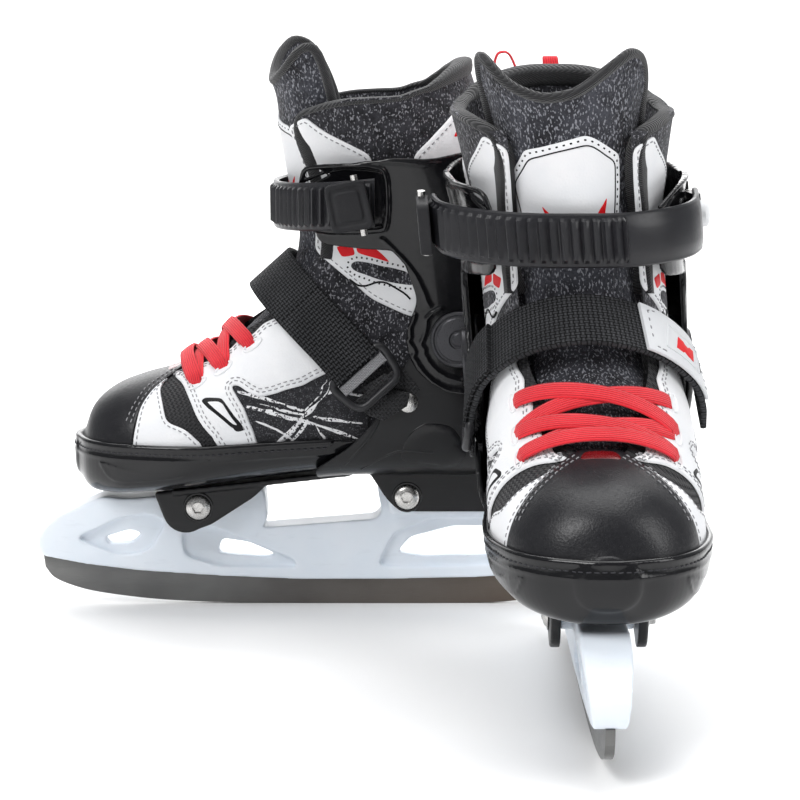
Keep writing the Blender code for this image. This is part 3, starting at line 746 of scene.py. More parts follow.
def finish(name, look):
    made = bpy.data.materials.new(name)
    made.use_nodes = True
    tree = made.node_tree
    shader = tree.nodes["Principled BSDF"]
    place = tree.nodes.new("ShaderNodeAttribute")
    place.attribute_name = look.get("place", "local")
    vector = place.outputs["Vector"]
    mottle = noiseOf(tree, vector, look.get("mottle", 0.05), 4.0)
    grain = noiseOf(tree, vector, look.get("grain", 1.4), 2.0, look.get("grainStretch", (1, 1, 1)))
    colour = mixOf(tree, spread(tree, mottle, 0.32, 0.68), look["colour"],
                   look.get("second", look["colour"]))
    height = mathOf(tree, "MULTIPLY", grain, look.get("grainRelief", 0.05))
    if "pattern" in look:
        threads = patternOf(tree, look["pattern"], vector, look["pitch"])
        height = mathOf(tree, "ADD", height, mathOf(tree, "MULTIPLY", threads, look.get("relief", 0.2)))
        if "between" in look:
            colour = mixOf(tree, spread(tree, threads, *look.get("betweenAt", (0.0, 0.75))),
                           look["between"], colour)
    if "fleck" in look:
        fleck = noiseOf(tree, vector, look.get("fleckSize", 1.1), 1.0, look.get("fleckStretch", (1, 1, 1)))
        low, high = look.get("fleckAt", (0.60, 0.66))
        colour = mixOf(tree, spread(tree, fleck, low, high), colour, look["fleck"])
    if "worn" in look:
        rub = noiseOf(tree, vector, 0.09, 6.0, (1, 1, 4))
        colour = mixOf(tree, spread(tree, rub, 0.60, 0.74, 0.0, 0.35), colour, look["worn"])
    if "heel" in look:
        parts = tree.nodes.new("ShaderNodeSeparateXYZ")
        tree.links.new(vector, parts.inputs[0])
        colour = mixOf(tree, spread(tree, parts.outputs[0], 120.0, -40.0, 0.0, 0.75), colour, look["heel"])
    tree.links.new(colour, shader.inputs["Base Color"])
    low, high = look["rough"]
    tree.links.new(spread(tree, grain, 0.3, 0.7, low, high), shader.inputs["Roughness"])
    shader.inputs["Metallic"].default_value = look.get("metal", 0.0)
    shader.inputs["Coat Weight"].default_value = look.get("coat", 0.0)
    shader.inputs["Coat Roughness"].default_value = 0.12
    shader.inputs["Sheen Weight"].default_value = look.get("sheen", 0.0)
    shader.inputs["Sheen Roughness"].default_value = 0.6
    shader.inputs["Specular IOR Level"].default_value = look.get("shine", 0.32 if high < 0.5 else 0.12)
    if look.get("clear"):
        shader.inputs["Subsurface Weight"].default_value = look["clear"]
        shader.inputs["Subsurface Radius"].default_value = (0.004, 0.003, 0.003)
        shader.inputs["Subsurface Scale"].default_value = 0.5
    bump = tree.nodes.new("ShaderNodeBump")
    bump.inputs["Distance"].default_value = 0.001
    bump.inputs["Strength"].default_value = 1.0
    tree.links.new(height, bump.inputs["Height"])
    tree.links.new(bump.outputs["Normal"], shader.inputs["Normal"])
    return made


looks = {
    "runnerSteel": finish("brushed_runner", {"colour": (0.19, 0.19, 0.185), "second": (0.12, 0.12, 0.12),
                                             "metal": 1.0,
                          "rough": (0.26, 0.44), "grain": 1.6, "grainStretch": (0.05, 1, 5),
                          "grainRelief": 0.06,
                          "mottle": 0.02, "heel": (0.12, 0.085, 0.06)}),
    "edgeSteel": finish("ground_edge", {"colour": (0.55, 0.55, 0.56), "second": (0.40, 0.40, 0.41),
                                        "metal": 1.0,
                        "rough": (0.16, 0.30), "grain": 1.5, "grainStretch": (4, 1, 0.2),
                        "grainRelief": 0.03}),
    "holder": finish("holder_white", {"colour": (0.78, 0.83, 0.89), "second": (0.74, 0.80, 0.87),
                                      "rough": (0.30, 0.42),
                     "grain": 0.9, "grainRelief": 0.03, "clear": 0.08, "worn": (0.66, 0.71, 0.77)}),
    "shell": finish("shell_satin", {"colour": (0.007, 0.007, 0.008), "second": (0.009, 0.009, 0.010),
                    "rough": (0.28, 0.38), "grain": 2.4, "grainRelief": 0.04, "worn": (0.02, 0.02, 0.022)}),
    # darker and glossier than the shell: painted shade for the pocket round each bolt and for the side
    # recess of the shell, neither of which is cut
    "recess": finish("shell_recess", {"colour": (0.006, 0.006, 0.007), "rough": (0.10, 0.18),
                                      "grainRelief": 0.02}),
    "cup": finish("cup_gloss", {"colour": (0.004, 0.004, 0.005), "second": (0.006, 0.006, 0.007),
                  "rough": (0.14, 0.22), "grain": 0.4, "grainRelief": 0.02, "coat": 0.12,
                  "worn": (0.012, 0.012, 0.013)}),
    "cuff": finish("cuff_gloss", {"colour": (0.004, 0.004, 0.005), "second": (0.006, 0.006, 0.007),
                   "rough": (0.15, 0.24), "grain": 0.5, "grainRelief": 0.02, "coat": 0.12,
                   "worn": (0.012, 0.012, 0.013)}),
    "strap": finish("strap_satin", {"colour": (0.018, 0.018, 0.021), "second": (0.013, 0.013, 0.015),
                    "rough": (0.28, 0.36), "grain": 0.8, "grainRelief": 0.015}),
    "block": finish("block_grain", {"colour": (0.020, 0.020, 0.022), "second": (0.028, 0.028, 0.030),
                    "rough": (0.40, 0.55), "grain": 2.6, "grainRelief": 0.10}),
    "capWhite": finish("cap_white", {"colour": (0.80, 0.81, 0.82), "second": (0.74, 0.75, 0.77),
                       "rough": (0.25, 0.38), "grainRelief": 0.03}),
    "boltSteel": finish("bolt_steel", {"shine": 0.5, "colour": (0.62, 0.61, 0.59),
                                       "second": (0.48, 0.47, 0.46), "metal": 1.0,
                        "rough": (0.20, 0.36), "grain": 1.2, "grainRelief": 0.05}),
    "pivot": finish("pivot_satin", {"colour": (0.06, 0.06, 0.065), "second": (0.045, 0.045, 0.05),
                                    "metal": 0.6,
                    "rough": (0.26, 0.40), "grain": 1.8, "grainRelief": 0.06}),
    "leather": finish("toe_leather", {"colour": (0.008, 0.008, 0.010), "second": (0.012, 0.012, 0.014),
                      "rough": (0.30, 0.42), "pattern": "cells", "pitch": 0.9, "relief": 0.05, "grain": 0.7,
                      "grainRelief": 0.06, "worn": (0.02, 0.02, 0.022)}),
    "white": finish("white_leather", {"colour": (0.78, 0.78, 0.79), "second": (0.72, 0.73, 0.75),
                    "rough": (0.42, 0.58), "pattern": "cells", "pitch": 1.1, "relief": 0.06, "grain": 0.9,
                    "grainRelief": 0.08}),
    "felt": finish("charcoal_felt", {"colour": (0.014, 0.014, 0.016), "second": (0.030, 0.030, 0.034),
                   "rough": (0.8, 0.95), "mottle": 0.5, "grain": 2.2, "grainRelief": 0.30,
                   "fleck": (0.10, 0.10, 0.11),
                   "fleckSize": 1.5, "fleckAt": (0.58, 0.70), "sheen": 0.1}),
    "scratch": finish("brushed_print", {"colour": (0.80, 0.80, 0.81), "second": (0.62, 0.62, 0.64),
                      "rough": (0.6, 0.8), "mottle": 0.3, "fleck": (0.04, 0.04, 0.045), "fleckSize": 0.9,
                      "fleckAt": (0.56, 0.60), "grainRelief": 0.12}),
    "mesh": finish("toe_mesh", {"colour": (0.022, 0.022, 0.024), "second": (0.03, 0.03, 0.033),
                                "rough": (0.6, 0.8),
                   "pattern": "weave", "pitch": 1.9, "relief": 0.55, "between": (0.003, 0.003, 0.003),
                   "grainRelief": 0.1, "sheen": 0.1}),
    "collarMesh": finish("collar_mesh", {"colour": (0.008, 0.008, 0.010), "second": (0.035, 0.035, 0.042),
                         "rough": (0.6, 0.8), "pattern": "cells", "pitch": 1.5, "relief": 0.5,
                         "mottle": 0.2,
                         "fleck": (0.22, 0.22, 0.24), "fleckSize": 1.2, "fleckStretch": (1, 1, 0.6),
                         "fleckAt": (0.58, 0.66), "sheen": 0.1}),
    "tongueMesh": finish("tongue_mesh", {"colour": (0.010, 0.010, 0.013), "second": (0.05, 0.052, 0.064),
                         "rough": (0.6, 0.8), "pattern": "cells", "pitch": 1.7, "relief": 0.8,
                         "mottle": 0.08,
                         "fleck": (0.22, 0.225, 0.25), "fleckSize": 1.2, "fleckStretch": (1, 1, 0.5),
                         "fleckAt": (0.57, 0.64), "sheen": 0.1}),
    "binding": finish("knit_binding", {"colour": (0.009, 0.009, 0.010), "second": (0.014, 0.014, 0.016),
                      "rough": (0.7, 0.9), "pattern": "diagonal", "pitch": 1.1, "relief": 0.35,
                      "between": (0.004, 0.004, 0.004), "betweenAt": (0.0, 0.4), "sheen": 0.3}),
    # the thread tops are painted grey as a highlight; between the threads the webbing keeps its near black
    # colour
    "webbing": finish("webbing_weave_painted_highlight", {"colour": (0.055, 0.056, 0.060), "second": (0.035, 0.036, 0.039),
                      "rough": (0.6, 0.8), "place": "flat", "pattern": "webbing", "pitch": 1.9,
                      "relief": 0.9,
                      "between": (0.002, 0.002, 0.002), "betweenAt": (0.25, 0.95)}),
    "lace": finish("lace_red", {"colour": (0.80, 0.030, 0.045), "second": (0.70, 0.022, 0.034),
                                "rough": (0.6, 0.8),
                   "place": "flat", "pattern": "lengthRibs", "pitch": 1.0, "relief": 0.35,
                   "between": (0.42, 0.015, 0.02), "betweenAt": (0.0, 0.5), "grain": 3.0,
                   "grainRelief": 0.15,
                   "sheen": 0.15}),
    "red": finish("red_print", {"colour": (0.72, 0.012, 0.018), "second": (0.62, 0.010, 0.014),
                                "rough": (0.35, 0.5),
                  "grainRelief": 0.04}),
    "darkRed": finish("red_gloss", {"colour": (0.14, 0.004, 0.006), "second": (0.09, 0.003, 0.004),
                      "rough": (0.2, 0.35), "grainRelief": 0.05, "coat": 0.4}),
    "blackPrint": finish("black_print", {"colour": (0.010, 0.010, 0.011), "rough": (0.35, 0.5),
                                         "grainRelief": 0.04}),
    # grey sewing thread, painted darker than the light thread it is: painted shade of the stitch holes where
    # the stitches lie on the white panels
    "thread": finish("sewing_thread_painted_shade", {"colour": (0.30, 0.30, 0.31), "second": (0.24, 0.24, 0.25),
                                       "rough": (0.6, 0.8),
                     "grain": 4.0, "grainRelief": 0.1}),
    "blackThread": finish("black_thread", {"colour": (0.05, 0.05, 0.055), "second": (0.035, 0.035, 0.04),
                          "rough": (0.6, 0.8), "grain": 4.0, "grainRelief": 0.1}),
    "rubber": finish("tab_rubber", {"colour": (0.66, 0.67, 0.68), "second": (0.60, 0.61, 0.63),
                                    "rough": (0.45, 0.6),
                     "grain": 1.2, "grainRelief": 0.06}),
    "ring": finish("ring_plastic", {"colour": (0.014, 0.014, 0.016), "second": (0.02, 0.02, 0.022),
                   "rough": (0.28, 0.42), "grain": 1.4, "grainRelief": 0.06}),
    "grey": finish("grey_cloth", {"colour": (0.30, 0.30, 0.31), "second": (0.22, 0.22, 0.23),
                                  "rough": (0.6, 0.8),
                   "pattern": "weave", "pitch": 1.2, "relief": 0.3}),
    "insole": finish("insole_felt", {"colour": (0.10, 0.10, 0.11), "second": (0.07, 0.07, 0.08),
                                     "rough": (0.85, 0.95),
                     "mottle": 0.6, "grain": 2.0, "grainRelief": 0.3, "sheen": 0.3}),
}
print("finishes ready")


# runner
runner = {
    "half": 1.9,
    "top": [(197.8, 24.3), (175, 19.8), (151.8, 16.9), (110, 14), (74.9, 12.5), (30, 12.6), (-11.7, 13.5),
            (-47, 16.5)],
    "bottom": [(-52, 9), (-44, 3.6), (-21.4, 0.7), (7, 0), (64, 0), (100, 0.3), (123, 0.9), (147.2, 2.4),
               (171.3, 5.6), (184, 8.8), (192.8, 12.8), (197, 18)],
    "tang": 6.0,
}


def runnerOutline():
    top = [runner["top"][0]] + [(x, z + runner["tang"]) for x,
                                z in runner["top"][1:-1]] + [runner["top"][-1]]
    bottom = [tuple(p) for p in curveThrough(runner["bottom"], 5)]
    return top + bottom


def makeRunner():
    shape = prism(runnerOutline(), -runner["half"], runner["half"])
    mesh = meshFrom(bevelled(shape, 0.35, 2))
    # the ground sole of the blade shows brighter
    for face in mesh.polygons:
        if face.normal.z < -0.55 or face.normal.x > 0.8:
            face.material_index = 1
    return mesh


settle("Runner", makeRunner(), [looks["runnerSteel"], looks["edgeSteel"]], stands=["runner"],
       crease=25.0)

# blade holder
holder = {
    "foot": 5.2, "top": 9.6, "frontBoss": 14.8, "rearBoss": 19.5,
    "frontBolt": (122.0, 50.5), "rearBolt": (23.5, 56.4),
    "pocket": 3.4,
    "openings": [
        [(22, 33), (2, 38.5), (-22, 38.5), (-30, 29), (-26, 24.5), (16, 23.5), (28, 25.5)],
        [(112, 32.5), (99, 30.5), (86, 24.5), (90, 23), (114, 25)],
        [(168, 33), (156, 37), (150, 35), (155, 30), (166, 29.5)],
    ],
    "pockets": [
        [(182, 33), (160, 43.5), (147, 45.5), (138, 42), (146, 27), (160, 24.5)],
        [(131, 38), (118, 40), (78, 22.5), (76, 18.5), (112, 18.8), (130, 24)],
        [(30, 36), (12, 43), (-26, 43), (-36, 28), (-30, 20.5), (20, 18.5), (38, 19)],
    ],
}


def makeHolder():
    rear = [(-50, 24), (-42, 42), (-36, 64)]
    window = disc((41.5, 48.5), 6, 8, 190, 262) + disc((96, 44), 6, 8, 250, 180)
    front = [(91, 58), (158, 52.5), (168, 54), (190, 44), (199, 35), (199.6, 29)]
    outline = rounded(list(runner["top"]) + rear + [(30, 64.5), (38, 60)] + window + front, 4.0)
    shape = prism(outline, -12.0, 12.0)
    wedge = [(-5.2, 0), (-5.2, 14), (-9.6, 48), (-9.6, 90), (9.6, 90), (9.6, 48), (5.2, 14), (5.2, 0)]
    slab = prism(wedge, -80, 220, "z")
    for vertex in slab.data.vertices:
        y, z, x = vertex.co
        vertex.co = (x, y, z)
    faceOutwards(slab.data)
    keep(shape, slab)
    for points in holder["pockets"]:
        soft = rounded(points, 5.0)
        for sign in (1, -1):
            inner = prism(soft, -2.0, 2.0)
            for vertex in inner.data.vertices:
                deep = vertex.co.y < 0
                x, z = vertex.co.x, vertex.co.z
                half = holder["foot"] + (holder["top"] - holder["foot"]) * min(1, max(0, (z - 14) / 34))
                vertex.co.y = sign * (half - holder["pocket"] if deep else half + 4)
            faceOutwards(inner.data)
            cut(shape, inner)
    for points in holder["openings"]:
        cut(shape, prism(rounded(points, 2.5), -20, 20))
    boss = turned([(6.7, -holder["frontBoss"]), (6.7, holder["frontBoss"])])
    join(shape, movedBy(boss, holder["frontBolt"][0], 0, holder["frontBolt"][1]))
    block = rounded([(-34, 47), (32, 47), (32, 63.5), (-34, 63.5)], 3.0)
    join(shape, prism(block, -holder["rearBoss"] + 0.2, holder["rearBoss"] - 0.2))
    mould(shape, 0.75, 5)
    slot = prism(runnerOutline(), -2.0, 2.0)
    cut(shape, slot)
    return meshFrom(shape)


settle("Holder", makeHolder(), [looks["holder"]], stands=["blade_holder"],
       crease=60.0)
print("runner and holder made")


# bolts, nuts, rivets and the ankle pivots
fixings = {"headRadius": 5.9, "headHeight": 2.6, "hexRadius": 2.7, "hexDepth": 1.9}


def boltMesh():
    r, h = fixings["headRadius"], fixings["headHeight"]
    head = turned([(3.0, -8.0), (3.0, 0.0), (r, 0.0), (r, 0.5)]
                  + [(r * math.cos(a), 0.5 + (h - 0.5) * math.sin(a)) for a in (0.3, 0.6, 0.85, 1.05)]
                  + [(2.9, h)])
    cut(head, turned([(fixings["hexRadius"], h - fixings["hexDepth"]), (fixings["hexRadius"], h + 2)], 6))
    return meshFrom(bevelled(head, 0.15))


def shiftedMesh(mesh, x, y, z, turn=False):
    made = mesh.copy()
    for vertex in made.vertices:
        if turn:
            vertex.co.y = -vertex.co.y
        vertex.co += Vector((x, y, z))
    if turn:
        made.flip_normals()
    return made


def nutMesh():
    shape = turned([(5.9, 0.0), (5.9, 1.0), (5.5, 1.5)], 48)
    hexagon = turned([(4.9, 1.4), (4.9, 3.6), (4.4, 4.0)], 6)
    join(shape, hexagon)
    cut(shape, turned([(3.1, 2.2), (3.1, 6.0)], 24))
    join(shape, turned([(2.9, -6.0), (2.9, 3.0), (2.5, 3.4)], 24))
    return meshFrom(shape)


for spot, key, boss in (("Front", "frontBolt", "frontBoss"), ("Rear", "rearBolt", "rearBoss")):
    x, z = holder[key]
    reach = holder[boss] + 4.4
    settle(spot + "Bolt", shiftedMesh(boltMesh(), x, reach, z), [looks["boltSteel"]],
           stands=[spot.lower() + "_bolt"], crease=30.0)
    settle(spot + "Nut", shiftedMesh(nutMesh(), x, -reach, z, True), [looks["boltSteel"]],
           stands=[spot.lower() + "_nut"], crease=30.0)
    # a thin, near black ring round each bolt head and nut: painted shade standing in for the recessed pocket
    # round the bolt
    pocketShadeRing = turned([(7.2, 0.0), (7.2, 0.5), (6.9, 0.8), (6.2, 0.8), (6.0, 0.4)], 48)
    ringMesh = meshFrom(pocketShadeRing)
    settle(spot + "BoltPocketShade", merged([shiftedMesh(ringMesh, x, reach - 0.3, z),
           shiftedMesh(ringMesh, x, -reach + 0.3, z, True)]), [looks["recess"]], crease=30.0)

pivot = {"x": 0.0, "z": 134.5, "radius": 13.0, "near": 47.4, "thick": 2.5}


def pivotMesh():
    r, t = pivot["radius"], pivot["thick"]
    profile = [(5.0, -6.0), (5.0, 0.0), (r, 0.0), (r, t - 0.7), (r - 0.5, t), (r - 1.3, t),
               (r - 1.9, t - 0.6)]
    profile += [(r - 2.6, t - 0.6), (r - 3.2, t - 0.1), (4.6, t + 0.1), (4.0, t - 0.5), (3.2, t - 0.5),
                (2.6, t)]
    mesh = meshFrom(turned(profile, 72))
    for face in mesh.polygons:
        middle = face.center
        radius = math.hypot(middle.x, middle.z)
        if middle.y > t - 0.75 and r - 1.4 < radius < r - 0.2:
            face.material_index = 1
    return mesh


settle("InnerPivot", shiftedMesh(pivotMesh(), pivot["x"], pivot["near"], pivot["z"]),
       [looks["pivot"], looks["boltSteel"]], stands=["inner_pivot"], crease=25.0)
settle("OuterPivot", shiftedMesh(pivotMesh(), pivot["x"], -pivot["near"], pivot["z"], True),
       [looks["pivot"], looks["boltSteel"]], stands=["outer_pivot"], crease=25.0)


def rivetMesh():
    dome = turned([(4.6, -1.5), (4.6, 0.3)] + [(4.6 * math.cos(a), 0.3 + 1.5 * math.sin(a))
                  for a in (0.3, 0.6, 0.9, 1.2, 1.45)], 40)
    return meshFrom(dome)


def onSurface(x, z, offset, sign=1):
    t, turn = findOnBoot(x, z, "in" if sign > 0 else "out")
    return onBoot(t, turn, offset)[0]


rivets = []
rivetX, rivetZ = 23.1, 104.6
for sign in (1, -1):
    y = onSurface(rivetX, rivetZ, 6.0, sign)[1]
    rivets.append(shiftedMesh(rivetMesh(), rivetX, y, rivetZ, sign < 0))
settle("ShellRivets", merged(rivets), [looks["boltSteel"]], crease=30.0)

# base shell
shellPiece = {
    "layer": (4.1, 6.3),
    "side": [(-70, 60), (64.5, 60), (66.5, 71.8), (49.8, 84), (40, 94), (33.2, 106.8), (27.5, 118)],
    "earRadius": 19.0,
    "recess": [(47, 79), (31, 88.5), (22.5, 92), (14, 88), (10, 79)],
}


def makeShell():
    side = shellPiece["side"] + disc((0, 134.5), shellPiece["earRadius"], 14, -10, 200) + [(-26, 122),
        (-70, 121)]
    shape = keep(layer(*shellPiece["layer"]), prism(rounded(side, 4.0), -70, 70))
    plate = [(50, 6.2), (134, 6.2), (134, 3.6), (50, 3.6)]
    join(shape, prism([(x, soleAt(x) - d) for x, d in plate], -20.5, 20.5))
    pedestal = rounded([(-40, 72), (-42, 62), (-40, 49.3), (26.8, 49.3), (33, 55), (40, 66), (44, 72)], 4.0)
    ear = [(88, 62.5), (96, 55), (116, 42)] + disc((128, 49), 11, 9, 235, 340) + [(143, 57.6)]
    for sign in (1, -1):
        a, b = sorted((sign * 19.8, sign * 23.8))
        join(shape, prism(pedestal, a, b))
        a, b = sorted((sign * 15.1, sign * 19.1))
        join(shape, prism(rounded(ear, 2.0), a, b))
    mould(shape, 0.66, 4)
    return meshFrom(shape)


settle("BaseShell", makeShell(), [looks["shell"]], stands=["base_shell"], crease=60.0)


def beadOn(points, offset, radius, kind="in", both=True, steps=4):
    # a moulded ridge lying on a shell, along a line seen from the side
    meshes = []
    for side in (("in", "out") if both else (kind,)):
        path = []
        for point in curveThrough([(a, b, 0) for a, b in points], steps):
            t, turn = findOnBoot(point.x, point.y, side)
            path.append(Vector(onBoot(t, turn, offset)[0]))
        meshes.append(tube(smoothed(path, 1), radius, 10))
    return merged(meshes)


frontEdge = [(63, 70), (50.5, 82.2), (41, 92.5), (34, 105.5), (28, 117)]
settle("ShellEdges", merged([beadOn(frontEdge, 5.9, 0.9), beadOn([(47, 76), (31, 84.5), (14, 84)], 6.0,
    0.7)]),
       [looks["shell"]])
# a thin sheet on each side, darker and glossier than the shell: painted shade standing in for the side
# recess, which is not cut
settle("ShellRecessShade", merged([patch(outlineOnBoot(seen([(30, 80), (26, 92), (17, 98), (4, 96), (-2, 84),
                                                        (4, 77)], k),
       3.0), 6.25, 0.25, 0.5, 0.4) for k in ("in", "out")]), [looks["recess"]])
print("base shell made")


# toe cup
cup = {
    "layer": (0.9, 3.1),
    "rim": [(46, 40), (190, 40), (190, 83.5), (119, 83.5), (73, 86), (46, 86.5)],
    "bead": 1.7, "grooveDrop": 3.6, "secondDrop": 6.4,
    "leaf": [(166, 74.5), (150, 72.0), (126, 71.5), (146, 68.4), (160, 67.8), (166, 74.5)],
}


def contour(height, offset, first=-0.9, last=8.0, count=140):
    # (t, turn) line round the nose at the height given for each x, from the outer to the inner side
    spots = []
    ridge = onBoot(np.linspace(-0.95, 2.0, 300), 0.0, offset)
    over = np.nonzero(ridge[:, 2] > height(175.0))[0][0]
    noseT = float(np.linspace(-0.95, 2.0, 300)[over])
    for t in np.linspace(first, last, count):
        turns = np.radians(np.linspace(0, 175, 140))
        place = onBoot(np.full(len(turns), t), turns, offset)
        gap = place[:, 2] - np.array([height(x) for x in place[:, 0]])
        below = np.nonzero(gap < 0)[0]
        if gap[0] <= 0 or not len(below):
            continue
        k = below[0]
        share = gap[k - 1] / (gap[k - 1] - gap[k])
        spots.append((t, turns[k - 1] + (turns[k] - turns[k - 1]) * share))
    spots = np.array(spots)
    other = spots.copy()
    other[:, 1] = -other[:, 1]
    nose = np.array([(noseT, 0.0)])
    return np.vstack([other[::-1], nose, spots])


def resampled(spots, offset, spacing=2.0):
    place = onBoot(spots[:, 0], spots[:, 1], offset)
    run = np.concatenate([[0], np.cumsum(np.linalg.norm(np.diff(place, axis=0), axis=1))])
    at = np.linspace(0, run[-1], max(3, int(run[-1] / spacing)))
    return np.stack([np.interp(at, run, spots[:, 0]), np.interp(at, run, spots[:, 1])], 1)


def rimHeight(drop):
    return lambda x: (83.3 if x > 119 else 83.3 + (119 - x) * 0.055) - drop


def contourTube(drop, offset, radius, last=7.1):
    spots = resampled(contour(rimHeight(drop), offset, last=last), offset)
    path = [Vector(p) for p in onBoot(spots[:, 0], spots[:, 1], offset)]
    return tube(smoothed(path, 6), radius, 12)


def makeCup():
    shape = keep(layer(*cup["layer"]), prism(cup["rim"], -70, 70))
    slot = [(41, 71.5), (55, 71.5), (55, 81.5), (41, 81.5)]
    cut(shape, prism(slot, -60, -30))
    whole = objectOf(merged([meshFrom(shape), contourTube(0.9, 2.2, cup["bead"]),
                             contourTube(cup["secondDrop"], 2.7, 0.95), beadOn(cup["leaf"], 2.8, 0.75)]))
    mould(whole, 0.7, 3)
    return meshFrom(whole)


settle("ToeCup", makeCup(), [looks["cup"]], body="toe", stands=["toe_cup"], crease=60.0)
welt = resampled(contour(rimHeight(cup["grooveDrop"]), 3.1, last=7.0), 3.1)
settle("CupStitches", stitches(welt, 3.15, 0, 3.0, (2.0, 0.5, 0.3), closed=False), [looks["blackThread"]],
       body="toe")
print("toe cup made")

# cuff
cuff = {
    "layer": (7.0, 9.3),
    "side": [(-34, 128), (-70, 128), (-70, 224), (-20, 224), (13.2, 217.3), (31.3, 218.2), (51.7, 213.8),
             (71, 202.5), (64, 177.5), (45, 176)],
    "earRadius": 24.0,
    "frame": [(36, 183.5), (60, 180.5), (66, 186), (66, 206), (60, 211), (38, 213.5), (32, 208), (32, 188)],
}


def makeCuff():
    side = [(26.8, 175.2), (18.6, 152.3)] + disc((0, 134.5), cuff["earRadius"], 22, 20, -200) + cuff["side"]
    shape = keep(layer(*cuff["layer"]), prism(rounded(side, 5.0), -80, 80))
    ridges = [
        meshFrom(shape),
        beadOn([(34, 180), (24, 170), (17, 158), (14, 150)], 9.2, 1.0),
        beadOn(disc((0, 134.5), 17.5, 24, -160, 60), 9.2, 0.9),
        beadOn(disc((0, 134.5), 22.6, 26, -175, 30), 9.2, 1.0),
        beadOn([(-40, 221.5), (-20, 221.5), (13.2, 215.4), (31.3, 216.2), (51, 212), (66, 203)], 9.2, 1.0),
    ]
    frameLine = cuff["frame"] + cuff["frame"][:2]
    ridges.append(beadOn(frameLine, 9.6, 1.3, both=False))
    whole = objectOf(merged(ridges))
    mould(whole, 0.62, 4)
    return meshFrom(whole)


settle("Cuff", makeCuff(), [looks["cuff"]], body="cuff", stands=["cuff"], crease=60.0)
print("cuff made")


# boot: woven front, knitted collar and everything sewn on
boot.update({
    "rim": [(79.4, 231), (72.5, 237), (49.5, 244), (26.8, 245), (13.2, 249.5), (-1.7, 259), (-70, 259)],
    "throat": [(131, -9), (131, 9), (112, 17), (88, 24), (60, 26), (60, -26), (88, -24), (112, -17)],
    "split": [(40, 30), (40, 95), (44, 118), (86, 161), (110, 185)],
})


def bootWall():
    rim = [(-70, 40), (200, 40), (200, 140), (120, 200)] + boot["rim"]
    wall = keep(layer(-boot["wall"], -0.2), prism(rim, -80, 80))
    return cut(wall, prism(rounded(boot["throat"], 5.0), 100, 300, "z"))


wall = bootWall()
frontHalf = prism(boot["split"] + [(220, 185), (220, 30)], -80, 80)
front = objectOf(wall.data.copy())
cut(wall, objectOf(frontHalf.data.copy()))
keep(front, frontHalf)
settle("BootFront", meshFrom(front), [looks["mesh"]], stands=["boot_toe"], bend="toe")
settle("BootRear", meshFrom(wall), [looks["collarMesh"]], stands=["boot_lower", "boot_collar"],
       bend="cuff")
print("boot made")


def sewn(name, outlines, base, thick, finishes, soft=1.6, edge=0.8, bend="toe", body="skates",
         spacing=1.3,
         grid=2.6, both=True):
    # the same panel on the inner and outer side of the boot
    meshes = []
    lines = []
    for outline in outlines:
        pair = (outline, bothSides(outline)) if both else (outline,)
        for points in pair:
            line = outlineOnBoot(points, soft, spacing)
            lines.append(line)
            meshes.append(patch(line, base, thick, edge, 0.5, grid))
    settle(name, merged(meshes), finishes, body, bend=bend, crease=50.0)
    return lines


def threadOn(name, lines, base, inset, bend="toe", body="skates", look="thread", pitch=2.9,
             size=(1.9, 0.45, 0.28)):
    settle(name, merged([stitches(line, base, inset, pitch, size) for line in lines]), [looks[look]], body,
           bend=bend)


# charcoal side, under the white lacing panel
sewn("SideFelt", [seen([(112, 76), (112, 104), (104, 114), (85, 112), (60, 120), (44, 124), (41, 112),
                        (41, 76)])],
     -0.1, 0.3, [looks["felt"]])
# white crescent along each edge of the toe cap
crescent = [(135.5, 15.5, "top"), (142, 22, "top"), (147.5, 29, "top"), (150, 88, "in"), (151, 78, "in"),
            (112, 78, "in"),
            (116.7, 82.3, "in"), (120.8, 86.5, "in"), (124.9, 90.7, "in"), (129, 93.1, "in"),
            (134.9, 94.6, "in"),
            (139, 23, "top")]
crescents = sewn("ToeCrescents", [crescent], 0.0, 0.9, [looks["white"]], 2.4)
threadOn("CrescentStitches", crescents, 0.9, 1.7)
# white lacing panel with a scalloped throat
lacing = {
    "outline": [(133, 12.5, "top"), (128, 17.5, "top"), (124.5, 19, "top"), (121, 18.5, "top"),
                (116, 22.5, "top"),
                (111, 22, "top"), (106, 25.5, "top"), (101, 24.5, "top"), (96, 28, "top"), (90, 27, "top"),
                (84, 29, "top"), (72, 30, "top"),
                (66.9, 139, "in"), (62.2, 136.6, "in"), (54.6, 130.1, "in"), (53.2, 127.2, "in"),
                (53.2, 124.2, "in"),
                (55.8, 120, "in"), (61.1, 117.7, "in"), (71.7, 112.4, "in"), (83.6, 108.6, "in"),
                (91.3, 107.1, "in"),
                (96.6, 108.6, "in"), (101.9, 112.4, "in"), (104.6, 111.6, "in"), (102.5, 107.4, "in"),
                (98.7, 101.4, "in"), (94.5, 92, "in"), (90.9, 79, "in"), (107.5, 79, "in"),
                (114.6, 89.1, "in"),
                (121, 97.5, "in"), (128, 26, "top"), (132, 18, "top")],
    "base": 0.25, "thick": 1.1,
}
lacingLines = sewn("LacingPanels", [lacing["outline"]], lacing["base"], lacing["thick"], [looks["white"]],
                   0.9)
threadOn("LacingStitches", lacingLines, 1.35, 2.0)
threadOn("LacingStitchesInner", lacingLines, 1.35, 3.6, pitch=3.0)
# outlined triangle printed low on the lacing panel
triangle = [(118.7, 104.2), (116.9, 105.7), (109.2, 105.7), (107.5, 104.2), (97.8, 91.4), (101.7, 91.2),
            (104.7, 92.9)]
inner = [(116.3, 103.9), (110.4, 104.4), (108.7, 103.4), (101.2, 93.0), (103.6, 94.6)]
sewn("TrianglePrint", [seen(triangle)], 1.3, 0.16, [looks["blackPrint"]], 0.5, 0.2, grid=1.6, spacing=0.8)
sewn("TriangleInner", [seen(inner)], 1.44, 0.16, [looks["white"]], 0.5, 0.2, grid=1.6, spacing=0.8)

